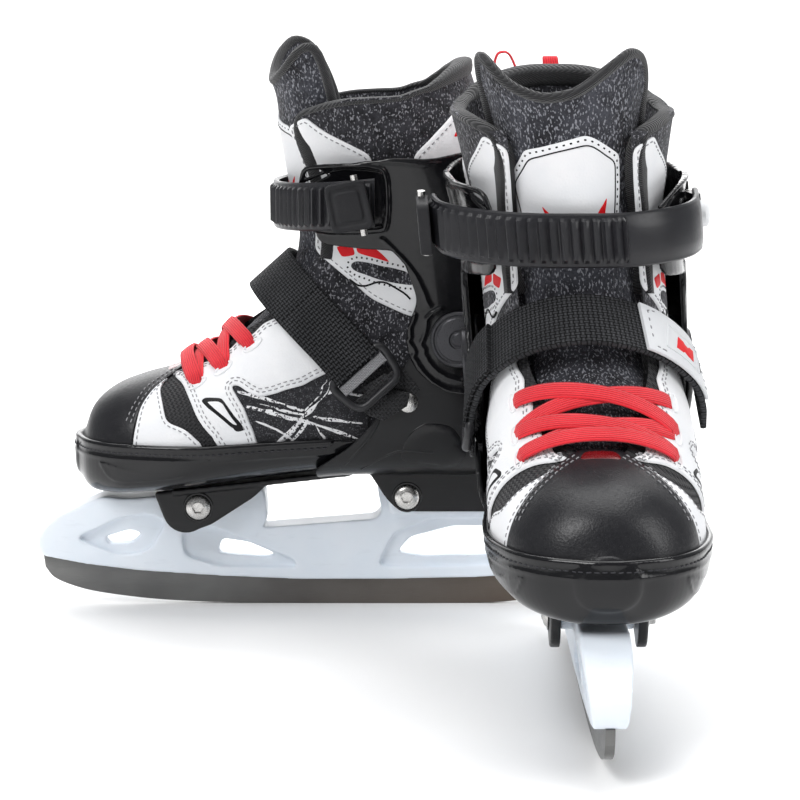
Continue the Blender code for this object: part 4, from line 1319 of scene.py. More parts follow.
# brushed streaks on the charcoal side
streaks = [
    ([(102, 109.3), (89.1, 106.3), (70.9, 100.4)], 1.5), ([(98.6, 102.8), (86.2, 99.8), (73.3, 95.6),
                                                           (59.1, 92)], 1.7),
    ([(70.9, 99.8), (65.6, 106.3), (59, 115.2)], 1.8), ([(71.5, 97), (77.4, 89.8), (85.1, 82.5)], 2.4),
    ([(69.0, 96.4), (73.2, 89.8), (79.2, 82.5)], 1.3), ([(43, 115.6), (50.4, 107.6), (43, 106.5)], 1.6),
    ([(49.3, 122.3), (52.3, 118.5), (60, 108)], 1.5), ([(55.8, 115.6), (62, 108), (68.2, 100.1),
                                                        (72.9, 96.5)], 1.5),
    ([(67.1, 97.7), (55.3, 95.3), (43.3, 93.5)], 1.7), ([(69.4, 94.9), (59.4, 91.4), (49.4, 87.5),
                                                         (43.5, 85)], 1.4),
    ([(94, 96), (84, 91.5), (76, 86)], 1.3), ([(92, 104), (80, 100.5), (69.5, 98)], 1.0),
    ([(66, 94), (61, 86), (57, 80)], 1.2),
]
sewn("Streaks", [ribbon(points, width * 1.15) for points, width in streaks], 0.16, 0.16, [looks["scratch"]],
     0.4, 0.2,
     grid=1.6, spacing=0.8)

# black leather toe cap with a dark red band at its rear
toeLeather = [(129.6, -9.5), (129.6, 9.5), (135, 15.5), (142, 23), (148, 31), (152, 38), (190, 60),
              (190, -60),
              (152, -38), (148, -31), (142, -23), (135, -15.5)]
cap = keep(layer(-0.25, 1.15), prism(rounded(toeLeather, 3.0), 77, 150, "z"))
settle("ToeLeather", meshFrom(bevelled(cap, 0.4, 2)), [looks["leather"]], bend="toe")
capLines = []
for sign in (1, -1):
    for shift in (0.0, 2.2):
        spots = [findOnBoot(x + shift, sign * (m - shift * 0.55), "top")
                 for x, m in ((131.8, 9.2), (136.6, 14.8), (143.2, 22), (149, 29.6), (152, 33.6))]
        capLines.append(resampled(np.array(spots), 1.0))
settle("ToeCapStitches", merged([stitches(line, 1.2, 0, 2.9, closed=False) for line in capLines]),
       [looks["thread"]],
       bend="toe")
redBand = [(130.6, -6.5, "top"), (130.6, 6.5, "top"), (136.5, 8.5, "top"), (136.5, -8.5, "top")]
sewn("ToeRedPrint", [redBand], 1.08, 0.14, [looks["darkRed"]], 1.2, 0.2, both=False)
print("toe panels made")

# tongue
tongue = {"low": 4.1, "outer": -6.2, "thick": 3.4, "bead": 2.25,
          "roll": 2.6, "rollFrom": 0.93}  # the top edge leans outwards a little


def tongueTop(u):
    # how high the tongue stands across its width: two peaks with a dip between, u from -1 outer to 1 inner
    points = [(-1.0, 13.3), (-0.9, 13.9), (-0.72, 14.45), (-0.52, 14.6), (-0.3, 14.3), (-0.05, 13.8),
              (0.18, 13.7),
              (0.42, 13.95), (0.66, 14.45), (0.8, 14.5), (0.92, 14.0), (1.0, 13.3)]
    return float(np.interp(u, [p[0] for p in points], [p[1] for p in points]))


def tongueWidth(t):
    return np.interp(t, [4.1, 5.0, 6.0, 8.0, 11.0, 13.0, 15.0], [0.30, 0.42, 0.56, 0.72, 0.82, 1.12, 1.42])


def tongueRoll(v):
    return tongue["roll"] * max(0.0, (v - tongue["rollFrom"]) / (1.0 - tongue["rollFrom"])) ** 2


def tonguePoint(t, u, lift):
    # the wings stand straighter than the collar round them
    place = onBoot(t, u * tongueWidth(t), lift)[0]
    rise = max(0.0, min(1.0, (t - 11.5) / 2.0))
    place[1] *= 1.0 - 0.20 * rise * u * u
    return place


def makeTongue():
    columns = np.linspace(-1, 1, 41)
    rows = np.linspace(0, 1, 70)
    points = []
    for level in (0, 1):
        for v in rows:
            for u in columns:
                t = tongue["low"] + (tongueTop(u) - tongue["low"]) * v
                lift = tongue["outer"] - (tongue["thick"] if level else 0.0)
                edge = max(0.0, abs(u) - 0.9) * 6.0
                lift += tongueRoll(v) + (edge if level else 0.0)
                points.append(tonguePoint(t, u, lift))
    across = len(columns)
    total = across * len(rows)
    faces = []
    for v in range(len(rows) - 1):
        for u in range(across - 1):
            a = v * across + u
            faces.append((a, a + 1, a + across + 1, a + across))
            faces.append((total + a, total + a + across, total + a + across + 1, total + a + 1))
    border = [u for u in range(across)] + [v * across + across - 1 for v in range(1, len(rows))]
    border += [(len(rows) - 1) * across + u for u in reversed(range(across - 1))]
    border += [v * across for v in reversed(range(1, len(rows) - 1))]
    for i in range(len(border)):
        a, b = border[i], border[(i + 1) % len(border)]
        faces.append((a, total + a, total + b, b))
    return faceOutwards(meshOf(points, faces))


def tongueEdge():
    line = []
    for v in np.linspace(0.62, 1, 30):
        line.append((-1.0, v))
    for u in np.linspace(-1, 1, 50)[1:-1]:
        line.append((u, 1.0))
    for v in np.linspace(1, 0.62, 30):
        line.append((1.0, v))
    path = []
    for u, v in line:
        t = tongue["low"] + (tongueTop(u) - tongue["low"]) * v
        path.append(Vector(tonguePoint(t, u, tongue["outer"] - tongue["thick"] * 0.5 + tongueRoll(v))))
    return tube(smoothed(path, 3), tongue["bead"], 12)


settle("Tongue", makeTongue(), [looks["tongueMesh"]], stands=["tongue_lower", "tongue_upper"],
       bend="cuff")
settle("TongueBinding", tongueEdge(), [looks["binding"]], body="cuff")


def onTongue(points, lift):
    # a patch outline given across and up the tongue in mm
    ts, turns = np.meshgrid(np.arange(10.5, 15.0, 0.02), np.linspace(-1.1, 1.1, 220), indexing="ij")
    ts, turns = ts.ravel(), turns.ravel()
    place = onBoot(ts, turns, lift)
    chosen = [int(np.argmin((place[:, 1] - m) ** 2 + (place[:, 2] - z) ** 2)) for m, z in points]
    return np.stack([ts[chosen], turns[chosen]], 1)


def dense(points, step=2.0):
    made = []
    for a, b in zip(points, points[1:] + points[:1]):
        count = max(1, int(math.hypot(a[0] - b[0], a[1] - b[1]) / step))
        made += [(a[0] + (b[0] - a[0]) * i / count, a[1] + (b[1] - a[1]) * i / count) for i in range(count)]
    return made


badge = {
    "outline": [(25, 217), (18.5, 229.5), (-6, 236.0), (-9, 235.4), (-19.5, 228), (-19, 216), (-17, 196),
                (22, 196)],
    "line": [(22.5, 215.5), (16.5, 226.0), (-6, 232.0), (-8.5, 231.6), (-17.2, 224.8), (-16.8, 216),
             (-15, 197),
             (19.8, 197)],
}
badgeLine = evenly(onTongue(dense(badge["outline"]), -6.0), 1.6, 1.2)
settle("TonguePatch", patch(badgeLine, -6.0, 1.0, 0.7, 0.6, 2.4), [looks["white"]], body="cuff")
settle("TonguePatchHoles", stitches(badgeLine, -5.05, 1.8, 3.0, (1.2, 0.7, 0.12)), [looks["blackPrint"]],
       body="cuff")
lineOuter = evenly(onTongue(dense(badge["line"]), -6.0), 1.6, 1.2)
lineTube = onBoot(np.append(lineOuter[:, 0], lineOuter[0, 0]), np.append(lineOuter[:, 1], lineOuter[0, 1]),
                  -5.05)
settle("TonguePatchLine", tube([Vector(p) for p in lineTube], 0.32, 6), [looks["blackPrint"]], body="cuff")
wedges = [[(13.5, 207.5), (6.0, 199.5), (10.5, 199)], [(-13.5, 211), (-11.5, 200.5), (-6.5, 200.5)],
          [(1.5, 205), (-1.5, 198), (3.5, 198)]]
settle("TongueWedges", merged([patch(evenly(onTongue(dense(w, 1.2), -5.0), 0.3, 0.9), -5.06, 0.16, 0.2, 0.4,
                                     1.5)
       for w in wedges]), [looks["red"]], body="cuff")
print("tongue made")

# collar: padded knit binding round the rim, panels and the pull loop
rimPoints = [(90, 205), (81.5, 226), (79.4, 231), (72.5, 236.5), (60, 241), (49.5, 243), (26.8, 244),
             (13.2, 248.5),
             (-1.7, 259), (-20, 262), (-60, 262)]


def rimAt(x):
    xs = [p[0] for p in rimPoints][::-1]
    zs = [p[1] for p in rimPoints][::-1]
    return float(np.interp(x, xs, zs))


def rimPath():
    # up the throat edge on the outer side, round the heel and down the inner side
    half = []
    for z in np.linspace(170, 229, 24):
        best = None
        for t in np.arange(8.5, 13.5, 0.05):
            turns = np.linspace(0.2, 1.4, 60)
            place = onBoot(np.full(60, t), turns, -3.0)
            gap = np.abs(place[:, 1] - 25.0) + np.abs(place[:, 2] - z)
            k = int(np.argmin(gap))
            if best is None or gap[k] < best[0]:
                best = (gap[k], t, turns[k])
        half.append(best[1:])
    for turn in np.linspace(half[-1][1] + 0.05, math.pi, 60):
        ts = np.linspace(11.0, 14.9, 200)
        place = onBoot(ts, np.full(200, turn), -3.0)
        gap = np.array([z - rimAt(x) for x, z in place[:, (0, 2)]])
        above = np.nonzero(gap > 0)[0]
        half.append((ts[above[0]] if len(above) else 14.9, turn))
    return half


binding = {
    "flapPoints": 24,  # points of the path that lie along each throat edge
    "down": 1.6, "downAtHeel": 6.2, "downAtFlap": 5.6,
    "out": 3.4, "outAtHeel": 1.5, "outAtFlap": 1.5,
}


def makeBinding():
    half = rimPath()
    spots = [(t, -turn) for t, turn in half] + [(t, turn) for t, turn in half[::-1][1:]]
    place = [Vector(onBoot(t, turn, -3.0)[0]) for t, turn in spots]
    place = smoothed(place, 4)
    sideways, outwards, rings = [], [], []
    for i, point in enumerate(place):
        run = runAt(place, i).normalized()
        t, turn = spots[i]
        normal = Vector(axesOnBoot(np.array([t]), np.array([turn]), -3.0)[3][0])
        across = run.cross(normal).normalized()
        onFlap = i < binding["flapPoints"] or i >= len(place) - binding["flapPoints"]
        above = Vector((0.2, -1.0 if point.y > 0 else 1.0, 0.0)) if onFlap else Vector((0.0, 0.0, 1.0))
        if across.dot(above) < 0:
            across = -across
        fromEnd = min(i, len(place) - 1 - i)
        flap = max(0.0, min(1.0, (binding["flapPoints"] + 2 - fromEnd) / 6.0))
        sideways.append(across)
        outwards.append(run.cross(across).normalized() * (1 if run.cross(across).dot(normal) > 0 else -1))
        heel = max(0.0, min(1.0, (20.0 - point.x) / 26.0))
        heel = heel * heel * (3 - 2 * heel)
        down = binding["down"] + binding["downAtHeel"] * heel + binding["downAtFlap"] * flap
        out = binding["out"] + binding["outAtHeel"] * heel + binding["outAtFlap"] * flap
        rings.append([(math.sin(a) * (down if math.sin(a) < 0 else 1.5 + 0.9 * heel) - 0.4,
                       math.cos(a) * out)
                      for a in np.linspace(0, 2 * math.pi, 18, endpoint=False)])
    return sweep(place, sideways, outwards, rings)


settle("CollarBinding", makeBinding(), [looks["binding"]], body="cuff")
frontPanel = seen([(80.5, 226), (78, 231), (70.2, 235.2), (66, 232), (55, 226), (40.6, 218.4), (38, 208),
                   (44, 196),
                   (76, 192), (79.5, 204), (81, 215)])
rearPanel = seen([(20.3, 218.1), (11, 228), (-1, 240), (-9.5, 248), (-24, 246), (-34, 225), (-40, 200),
                  (20, 200)])
collarLines = sewn("CollarPanels", [frontPanel, rearPanel], -0.1, 1.0, [looks["white"]], 1.2, bend=None,
                   body="cuff")
threadOn("CollarStitches", collarLines, 0.9, 2.0, bend=None, body="cuff")
sewn("CollarRed", [seen([(-9.5, 242.5), (-5, 240.6), (2.8, 226), (0.2, 226.5), (-10.5, 236)]),
                   seen([(-12, 232), (-3, 222), (-9, 221), (-17, 229)])], 0.88, 0.15, [looks["red"]], 0.5,
                   0.2,
     bend=None, body="cuff", grid=1.6, spacing=0.9)
anklePanel = seen([(77, 178), (69, 175.7), (55, 164.6), (39.9, 152.2), (29.4, 147), (20, 143.5), (8, 141),
                   (4, 152),
                   (10, 170), (20, 182), (34, 188), (70, 190), (78, 186)])
ankleLines = sewn("AnklePanels", [anklePanel], -0.1, 1.0, [looks["white"]], 1.4, bend="cuff")
threadOn("AnkleStitches", ankleLines, 0.9, 2.0, bend="cuff")
slotLines = sewn("AnkleMesh", [seen([(50.5, 167.1), (48, 169.4), (43, 169.4), (23.4, 164.9), (20.5, 158.4),
                 (37.5, 161.4), (47.4, 164.7)])], 0.88, 0.2, [looks["collarMesh"]], 1.0, 0.2, bend="cuff",
                 grid=1.8)
threadOn("AnkleDots", slotLines, 0.9, -1.8, "cuff", look="blackThread", pitch=2.4, size=(0.9, 0.9, 0.12))
sewn("AnkleRed", [seen([(56.1, 175.9), (49.1, 177.4), (47.2, 172.6), (53.5, 171.2)]),
                  seen([(46.8, 177.4), (39.3, 176.5), (31.0, 169.3), (38.1, 171.2), (46.8, 173.6)])], 0.88,
                  0.15,
     [looks["red"]], 0.5, 0.2, bend="cuff", grid=1.6, spacing=0.9)
piping = [beadOn([(50, 161.0), (44.5, 157.8), (36.4, 160.1), (29.4, 157.8), (21.8, 152.4)], 0.9, 0.45)]
settle("AnklePiping", merged(piping), [looks["blackPrint"]], bend="cuff")
heelLoop = {
    "path": [(-16, 0, 252), (-17.5, 0, 261), (-20, 0, 263.5), (-24, 0, 262), (-28, 0, 252), (-29, 0, 242)],
    "band": [(-3.0, -0.5), (3.0, -0.5), (3.3, 0), (3.0, 0.5), (-3.0, 0.5), (-3.3, 0)],
}
loopPath = curveThrough(heelLoop["path"], 6)
acrossLoop = Vector((0, 1, 0))
loopOuts = [runAt(loopPath, i).cross(acrossLoop).normalized() for i in range(len(loopPath))]
loopMesh = sweep(loopPath, [acrossLoop] * len(loopPath), loopOuts, [heelLoop["band"]] * len(loopPath))
settle("HeelLoop", loopMesh, [looks["lace"]], body="cuff")

# insole
insole = {"thick": 3.0, "above": 9.4, "heelCup": 2.2, "halfWidth": 20.0, "heelEnds": 60}
insolePlan = disc((2, 0), 17, 24, 90, 270) + [(60, -20), (110, -22)] + disc((130, 0), 20, 20, -75,
    75) + [(110, 22), (60, 20)]
insoleShape = prism(rounded(insolePlan, 3.0), 0, insole["thick"], "z")
subdivide = insoleShape.modifiers.new("cuts", "REMESH")
subdivide.mode = "VOXEL"
subdivide.voxel_size = 1.2
applied(insoleShape)
for vertex in insoleShape.data.vertices:
    x = vertex.co.x
    cupShare = (abs(vertex.co.y) / insole["halfWidth"]) ** 3 if x < insole["heelEnds"] else 0.0
    vertex.co.z += soleAt(x) + insole["above"] + insole["heelCup"] * cupShare
settle("Insole", meshFrom(insoleShape), [looks["insole"]], stands=["insole"])

# laces
laces = {
    "eyelets": [(121.0, 31.5), (108.5, 32.5), (95.0, 32.5)],
    "width": 7.6, "thick": 1.7, "lift": 1.5,
    "dive": 2.6, "diveShare": 0.055,  # both ends dive into their slots
    "pinch": 0.28, "pinchShare": 0.09,
}


def laceStrand(start, end, lift, bow):
    (xa, ma), (xb, mb) = start, end
    ta, ua = findOnBoot(xa, ma, "top")
    tb, ub = findOnBoot(xb, mb, "top")
    count = 34
    path, sideways, outwards, rings = [], [], [], []
    for i in range(count):
        s = i / (count - 1)
        t = ta + (tb - ta) * s + bow * math.sin(math.pi * s)
        turn = ua + (ub - ua) * s
        dip = -laces["dive"] * max(0.0, 1 - min(s, 1 - s) / laces["diveShare"])
        wander = 0.25 * math.sin(7 * s + ta)
        path.append(Vector(onBoot(t, turn,
                                  laces["lift"] + lift * math.sin(math.pi * s) ** 0.5 + dip + wander)[0]))
    for i, point in enumerate(path):
        run = runAt(path, i).normalized()
        s = i / (count - 1)
        t = ta + (tb - ta) * s
        normal = Vector(axesOnBoot(np.array([t]), np.array([ua + (ub - ua) * s]), 1.0)[3][0])
        across = run.cross(normal).normalized()
        sideways.append(across)
        outwards.append(across.cross(run).normalized())
        pinch = 1.0 - laces["pinch"] * max(0.0, 1 - min(s, 1 - s) / laces["pinchShare"])
        w, h = laces["width"] / 2 * pinch, laces["thick"] / 2
        curl = 0.35 * math.sin(5.0 * s + ma)
        ring = [(-w, 0), (-w * 0.86, h), (-w * 0.45, h * 1.12 + curl * 0.3), (0, h * 1.2),
                (w * 0.45, h * 1.12),
                (w * 0.86, h), (w, 0), (w * 0.86, -h), (0, -h), (-w * 0.86, -h)]
        rings.append(ring)
    return sweep(path, sideways, outwards, rings)


def eyelet(row, sign):
    x, m = laces["eyelets"][row]
    return x, sign * m


strands = [
    laceStrand(eyelet(0, 1), eyelet(1, -1), 0.6, -0.30), laceStrand(eyelet(0, -1), eyelet(1, 1), 2.3,
        -0.30),
    laceStrand(eyelet(1, 1), eyelet(2, -1), 0.8, -0.34), laceStrand(eyelet(1, -1), eyelet(2, 1), 2.5,
        -0.34),
    laceStrand(eyelet(0, -1), eyelet(0, 1), 4.0, -0.36),
]
settle("Laces", merged(strands), [looks["lace"]], stands=["laces"], bend="toe",
       crease=60.0)
slots = []
for row in range(3):
    for sign in (1, -1):
        x, m = eyelet(row, sign)
        t, turn = findOnBoot(x, m - sign * 0.4, "top")
        here, alongT, alongTurn, normal = axesOnBoot(np.array([t]), np.array([turn]), 1.35)
        run = Vector(alongT[0]).normalized()
        across = Vector(normal[0]).cross(run).normalized()
        centre = Vector(here[0])
        path = [centre + run * 4.9 * math.cos(a) + across * 2.0 * math.sin(a)
                for a in np.linspace(0, 2 * math.pi, 25)]
        slots.append(tube(path, 0.6, 8))
settle("LaceSlots", merged(slots), [looks["white"]], bend="toe")
print("laces made")

# instep webbing, ring and tab
webbing = {"width": 25.5, "thick": 2.6,
           "path": [(46, 46.5, 121), (56, 45, 132), (68, 39.5, 144), (79.5, 26.5, 155), (86, 9, 161),
                    (86, -9, 161), (79.5, -26.5, 155), (68, -39.5, 144), (56, -45, 132), (46, -46.5, 121)]}


def webFrames(path):
    sideways, outwards = [], []
    for i, point in enumerate(path):
        run = runAt(path, i)
        out = Vector((point.x - 40, point.y, point.z - 110))
        across = run.cross(out).normalized()
        sideways.append(across)
        outwards.append(across.cross(run).normalized())
    return sideways, outwards


def flatBand(path, sideways, outwards, width, low, high, turned=0.55):
    half = width / 2
    ring = [(-half, (low + high) / 2), (-half + 0.25, low + 0.2), (-half + turned, low),
            (half - turned, low),
            (half - 0.25, low + 0.2), (half, (low + high) / 2), (half - 0.25, high - 0.2),
            (half - turned, high)]
    ring += [(half * s, high) for s in (0.6, 0.2, -0.2, -0.6)]
    ring += [(-half + turned, high), (-half + 0.25, high - 0.2)]
    return sweep(path, sideways, outwards, [ring] * len(path))


webPath = curveThrough(webbing["path"], 10)
webSides, webOuts = webFrames(webPath)
settle("InstepWebbing", flatBand(webPath, webSides, webOuts, webbing["width"], 0.0, webbing["thick"]),
       [looks["webbing"]], stands=["instep_webbing"])
# the folded end lies over the band on the inner side, up to the ring
foldOuts = webOuts[:24]
fold = flatBand([p + o * (webbing["thick"] + 0.05) for p, o in zip(webPath[:24], foldOuts)], webSides[:24],
                foldOuts,
                webbing["width"] - 0.6, 0.0, 1.9)
settle("WebbingFold", fold, [looks["webbing"]])
ringRun = (webPath[0] - webPath[2]).normalized()
ringSide, ringOut = webSides[0], webOuts[0]


def onRing(along, across, out=1.6):
    return webPath[0] + ringRun * along + ringSide * across + ringOut * out


ringCorners = rounded([(-2.5, -15.5), (15.5, -12.5), (15.5, 12.5), (-2.5, 15.5)], 5.5, 6)
ringPath = [onRing(a, b) for a, b in ringCorners]
ringMesh = tube(ringPath + ringPath[:2], 2.0, 12)
settle("WebbingRing", ringMesh, [looks["ring"]], stands=["webbing_ring"])
barPath = [onRing(3.6, s, 2.6) for s in np.linspace(-12.5, 12.5, 12)]
bar = flatBand(barPath, [ringRun] * 12, [ringOut] * 12, 5.0, -0.7, 0.7, 0.4)
settle("RingBar", bar, [looks["grey"]])
lowPath = curveThrough([onRing(11, 0, 0.6), onRing(18, 0, -0.6), (32.5, 44.0, 112), (26, 43.6, 104)], 6)
lowSides, lowOuts = [], []
for i, point in enumerate(lowPath):
    run = runAt(lowPath, i).normalized()
    across = run.cross(Vector((0, 1, 0))).normalized()
    lowSides.append(across)
    lowOuts.append(across.cross(run).normalized())
settle("RingStrap", flatBand(lowPath, lowSides, lowOuts, 22.0, -1.0, 1.0), [looks["mesh"]])

tabRange = range(57, 79)
tabOuts = [webOuts[i] for i in tabRange]
tabPath = [webPath[i] + webOuts[i] * (webbing["thick"] + 0.1) for i in tabRange]
tabSides = [webSides[i] for i in tabRange]
tabMesh = flatBand(tabPath, tabSides, tabOuts, 24.5, 0.0, 1.7, 0.7)
settle("WebbingTab", tabMesh, [looks["rubber"]], stands=["webbing_tab"])


def onTab(along, across, out=1.72):
    # along and across as shares of the tab
    at = along * (len(tabPath) - 1)
    i = min(int(at), len(tabPath) - 2)
    share = at - i
    place = tabPath[i].lerp(tabPath[i + 1], share)
    return place + tabSides[i] * across * 12.25 + tabOuts[i] * out


tabLine = [onTab(a, b) for a, b in rounded([(0.07, -0.8), (0.93, -0.8), (0.93, 0.8), (0.07, 0.8)], 0.12, 5)]
borderPath = []
for a, b in zip(tabLine, tabLine[1:] + tabLine[:1]):
    borderPath += [a.lerp(b, k / 4) for k in range(4)]
places, normals, runs = [], [], []
travel = 0.0
for a, b in zip(borderPath, borderPath[1:] + borderPath[:1]):
    travel += (b - a).length
    if travel >= 2.6 and (b - a).length > 1e-4:
        travel = 0.0
        places.append(np.array(a))
        normals.append(np.array(tabOuts[len(tabOuts) // 2]))
        runs.append(np.array((b - a).normalized()))
settle("TabStitches", dashes(places, normals, runs, (1.7, 0.5, 0.25)), [looks["thread"]])
outlineLine = [(0.22, -0.55), (0.72, -0.55), (0.82, 0.55), (0.3, 0.55)]
embossed = tube([onTab(a, b, 1.75) for a, b in dense(outlineLine + outlineLine[:1], 0.1)], 0.42, 8)
settle("TabEmboss", embossed, [looks["rubber"]])


def tabPatch(corners, low, high):
    points = [onTab(a, b, low) for a, b in corners] + [onTab(a, b, high) for a, b in corners]
    count = len(corners)
    faces = [tuple(range(count)), tuple(range(2 * count - 1, count - 1, -1))]
    faces += [(i, (i + 1) % count, count + (i + 1) % count, count + i) for i in range(count)]
    return faceOutwards(meshOf(points, faces))


settle("TabRed", tabPatch([(0.36, -0.3), (0.62, -0.3), (0.68, 0.28), (0.42, 0.28)], 1.5, 1.95),
       [looks["red"]])
settle("TabBlack", tabPatch([(0.74, -0.35), (0.80, -0.35), (0.86, 0.4), (0.80, 0.4)], 1.5, 1.95),
       [looks["blackPrint"]])
print("webbing made")

# ratchet strap, its base, cap, pin and block
strap = {
    "path": [(33, -52), (46, -50.6), (60, -44.7), (72, -33.4), (80, -18), (83, 0), (81.5, 17), (75.5, 32),
             (66.5, 44.4), (56, 51.9), (45, 54.5), (38, 55.0)],
    "width": 22.0, "thick": 2.6, "mid": 194.0, "rise": 0.10, "tooth": 4.2, "toothHeight": 1.9,
    "hinge": (24.0, -52.0),
    "plainRun": 62.0, "shoulder": 1.3, "shoulderRun": 18.0, "flare": 1.6, "flareRun": 14.0,
}


def strapHeight(x):
    return strap["mid"] + strap["rise"] * max(0.0, 80.0 - x)


def makeStrap():
    path = curveThrough([(x, y, strapHeight(x)) for x, y in strap["path"]], 34)
    sideways, outwards, rings = [], [], []
    run = 0.0
    for i, point in enumerate(path):
        if i:
            run += (path[i] - path[i - 1]).length
        along = runAt(path, i).normalized()
        out = Vector((along.y, -along.x, 0)).normalized()
        sideways.append(Vector((0, 0, 1)))
        outwards.append(out)
        toothed = 1.0 if run > strap["plainRun"] else 0.0
        saw = (run / strap["tooth"]) % 1.0
        tooth = strap["toothHeight"] * (saw / 0.8 if saw < 0.8 else (1 - saw) / 0.2) * toothed
        shoulder = 0.0 if toothed else strap["shoulder"] * min(1.0, run / strap["shoulderRun"])
        half = strap["width"] / 2 + strap["flare"] * max(0.0, 1 - run / strap["flareRun"])
        low, high = 0.0, strap["thick"]
        ridge = high + tooth
        ring = [(-half, low + 0.8), (-half + 0.7, low), (half - 0.7, low), (half, low + 0.8),
                (half, high - 0.6),
                (half - 0.7, high), (half - 1.9, high + 0.1), (half - 3.2, ridge + shoulder * 0.6),
                (half * 0.4, ridge + shoulder), (0, ridge + shoulder), (-half * 0.4, ridge + shoulder),
                (-half + 3.2, ridge + shoulder * 0.6), (-half + 1.9, high + 0.1), (-half + 0.7, high),
                (-half, high - 0.6)]
        rings.append(ring)
    return sweep(path, sideways, outwards, rings)


hingeX, hingeY = strap["hinge"]
hingeZ = strapHeight(hingeX)
armMeshes = [makeStrap()]
for low, high in ((6.9, 9.6), (-9.6, -6.9)):
    arm = rounded([(hingeX - 2.8, hingeY - 3.0), (40, hingeY - 3.0), (40, hingeY + 0.6),
                   (hingeX + 1, hingeY + 2.2),
                   (hingeX - 2.8, hingeY + 1.4)], 1.8)
    armMeshes.append(meshFrom(prism(arm, hingeZ + low, hingeZ + high, "z")))
settle("RatchetStrap", merged(armMeshes), [looks["strap"]], body="strap", stands=["ratchet_strap"],
       crease=32.0)


def uprightRod(x, y, radius, low, high, count=24):
    shape = prism(disc((x, y), radius, count), low, high, "z")
    return meshFrom(bevelled(shape, 0.3))


settle("StrapPin", uprightRod(hingeX, hingeY, 1.6, hingeZ - 10.0, hingeZ + 10.0), [looks["boltSteel"]],
       body="cuff",
       stands=["strap_pin"])
basePlan = rounded([(4, hingeY + 2.3), (4, hingeY + 0.6), (12, hingeY - 2.4), (hingeX + 1.4, hingeY - 2.4),
                    (hingeX + 3.2, hingeY + 0.1), (hingeX + 3, hingeY + 2.6)], 1.2)
base = prism(basePlan, hingeZ - 6.2, hingeZ + 6.2, "z")
spur = rounded([(-2, hingeY + 3.2), (-2, hingeY + 1.4), (6, hingeY - 0.6), (16, hingeY - 0.6),
                (16, hingeY + 3.2)], 1.0)
join(base, prism(spur, hingeZ - 10.5, hingeZ + 13.0, "z"))
mould(base, 0.5, 3)
settle("StrapBase", meshFrom(base), [looks["cuff"]], body="cuff", stands=["strap_base"],
       crease=60.0)
capMesh = meshFrom(turned([(6.2, 0.0), (6.2, 3.0), (5.8, 4.2), (5.0, 5.0), (4.3, 4.7), (2.0, 5.0)], 48))
for vertex in capMesh.vertices:
    vertex.co.x *= 1.5
settle("StrapCap", shiftedMesh(capMesh, 19.5, hingeY - 2.7, hingeZ, True), [looks["capWhite"]], body="cuff",
       stands=["strap_base_cap"], crease=25.0)

block = {"outline": [(38, 187.5), (57, 184.5), (61, 206), (43, 209.5)], "near": 58.8, "deep": 5.0}


def makeBlock():
    outline = rounded(block["outline"], 3.5)
    shape = prism(outline, block["near"], block["near"] + block["deep"])
    centre = Vector((49.8, 0, 197))
    inner = [tuple(Vector((x, z)).lerp(Vector((centre.x, centre.z)), 0.20)) for x, z in outline]
    cut(shape, prism(inner, block["near"] + block["deep"] - 0.5, block["near"] + 9))
    small = [tuple(Vector((x, z)).lerp(Vector((centre.x, centre.z)), 0.42)) for x, z in outline]
    join(shape, prism(small, block["near"] + 1, block["near"] + block["deep"] + 0.1))
    mould(shape, 0.42, 3)
    return meshFrom(shape)


settle("RatchetBlock", makeBlock(), [looks["block"]], body="block", stands=["ratchet_block"],
       crease=60.0)
pinAxis = Vector((0.18, 0, 0.98)).normalized()
pinMiddle = Vector((45.0, block["near"] + 2.5, 197.5))
settle("BlockPin", tube([pinMiddle + pinAxis * s for s in np.linspace(-13.8, 13.8, 10)], 1.6, 16),
       [looks["boltSteel"]], body="cuff", stands=["block_pin"])
sizeButton = {"x": 50, "y": -41.6, "z": 76.5}
button = turned([(4.0, 0.0), (4.0, 6.3), (3.6, 6.9), (2.4, 7.0), (2.0, 6.5)], 32)
settle("SizeButton", shiftedMesh(meshFrom(button), sizeButton["x"], sizeButton["y"], sizeButton["z"], True),
       [looks["shell"]],
       body="button", stands=["size_button"])
print("strap and block made")


# floor, light and camera
studio = {
    "floor": (0.93, 0.93, 0.93), "halfFloor": 8, "floorFront": -6, "turnUp": 3, "turnRadius": 1.5,
    "wallTop": 6,
    "aim": (0.02, 0.05, 0.12), "backdropAim": (0.0, 4.0, 0.6),
    "sky": (0.95, 0.97, 1.0, 1.0), "skyStrength": 0.30, "sensor": 36.0,
    "camera": (0.02191, -1.14178, 0.303), "tilt": 90.0 - 9.144, "lens": 121.5,
    "lights": [
        ("key", (-0.9, -1.2, 1.6), (1.0, 1.0), 30.0),
        ("side", (1.5, -0.7, 1.0), (0.7, 1.3), 13.0),
        ("top", (0.1, 0.3, 1.9), (1.5, 1.5), 25.0),
        ("back", (0.0, 1.7, 0.9), (2.0, 1.0), 12.0),
        ("backdrop", (0.0, 1.6, 2.6), (3.0, 1.0), 130.0),
    ],
}


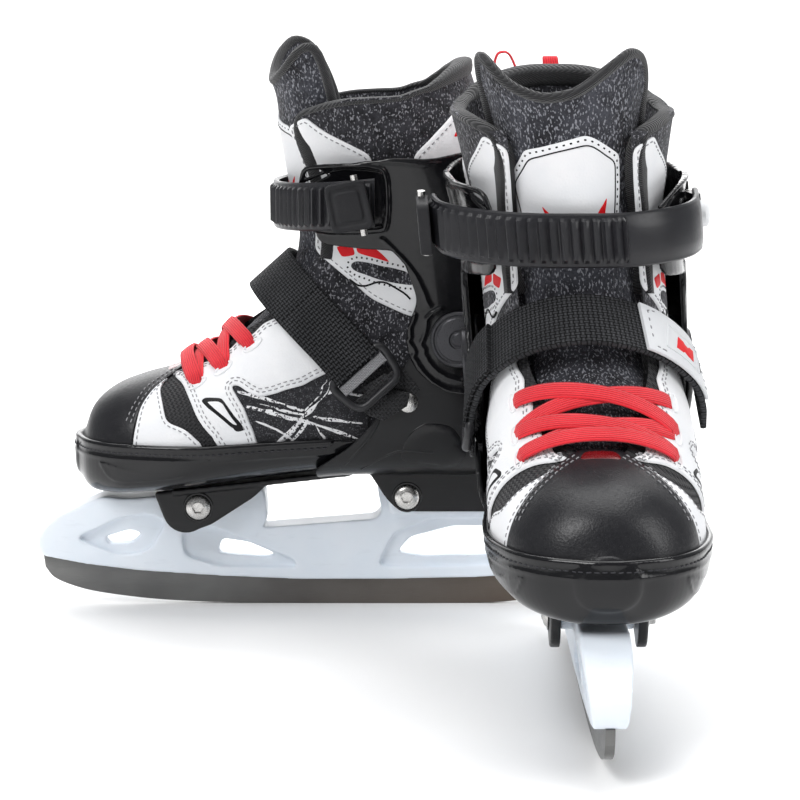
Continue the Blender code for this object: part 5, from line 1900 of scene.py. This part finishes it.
def plainMaterial(name, colour):
    made = bpy.data.materials.new(name)
    made.use_nodes = True
    shader = made.node_tree.nodes["Principled BSDF"]
    shader.inputs["Base Color"].default_value = (*colour, 1.0)
    shader.inputs["Roughness"].default_value = 0.55
    return made


def makeFloor():
    # a floor that turns up into a backdrop far behind
    points = []
    start, radius = studio["turnUp"], studio["turnRadius"]
    profile = [(studio["floorFront"], 0), (start, 0)]
    profile += [(start + radius * math.sin(a), radius - radius * math.cos(a)) for a in np.linspace(0.1,
        1.57, 12)]
    profile.append((start + radius, studio["wallTop"]))
    for y, z in profile:
        points += [(-studio["halfFloor"], y, z), (studio["halfFloor"], y, z)]
    faces = [(2 * i, 2 * i + 1, 2 * i + 3, 2 * i + 2) for i in range(len(profile) - 1)]
    mesh = meshOf(points, faces)
    mesh.shade_smooth()
    floor = objectOf(mesh)
    floor.name = "floor"
    mesh.materials.append(plainMaterial("floor_paint", studio["floor"]))


makeFloor()
for name, place, size, power in studio["lights"]:
    light = bpy.data.lights.new(name, "AREA")
    light.shape = "RECTANGLE"
    light.size, light.size_y = size
    light.energy = power
    lamp = bpy.data.objects.new(name, light)
    lamp.location = place
    target = Vector(studio["backdropAim"] if name == "backdrop" else studio["aim"])
    lamp.rotation_euler = (target - Vector(place)).to_track_quat("-Z", "Y").to_euler()
    bpy.context.scene.collection.objects.link(lamp)
world = bpy.data.worlds.new("studio")
world.use_nodes = True
world.node_tree.nodes["Background"].inputs["Color"].default_value = studio["sky"]
world.node_tree.nodes["Background"].inputs["Strength"].default_value = studio["skyStrength"]
bpy.context.scene.world = world
bpy.context.scene.view_settings.view_transform = "Standard"
cameraData = bpy.data.cameras.new("camera")
cameraData.lens = studio["lens"]
cameraData.sensor_width = studio["sensor"]
camera = bpy.data.objects.new("camera", cameraData)
camera.location = studio["camera"]
camera.rotation_euler = (math.radians(studio["tilt"]), 0.0, 0.0)
bpy.context.scene.collection.objects.link(camera)
bpy.context.scene.camera = camera

bpy.context.view_layer.update()
print("scene ready")
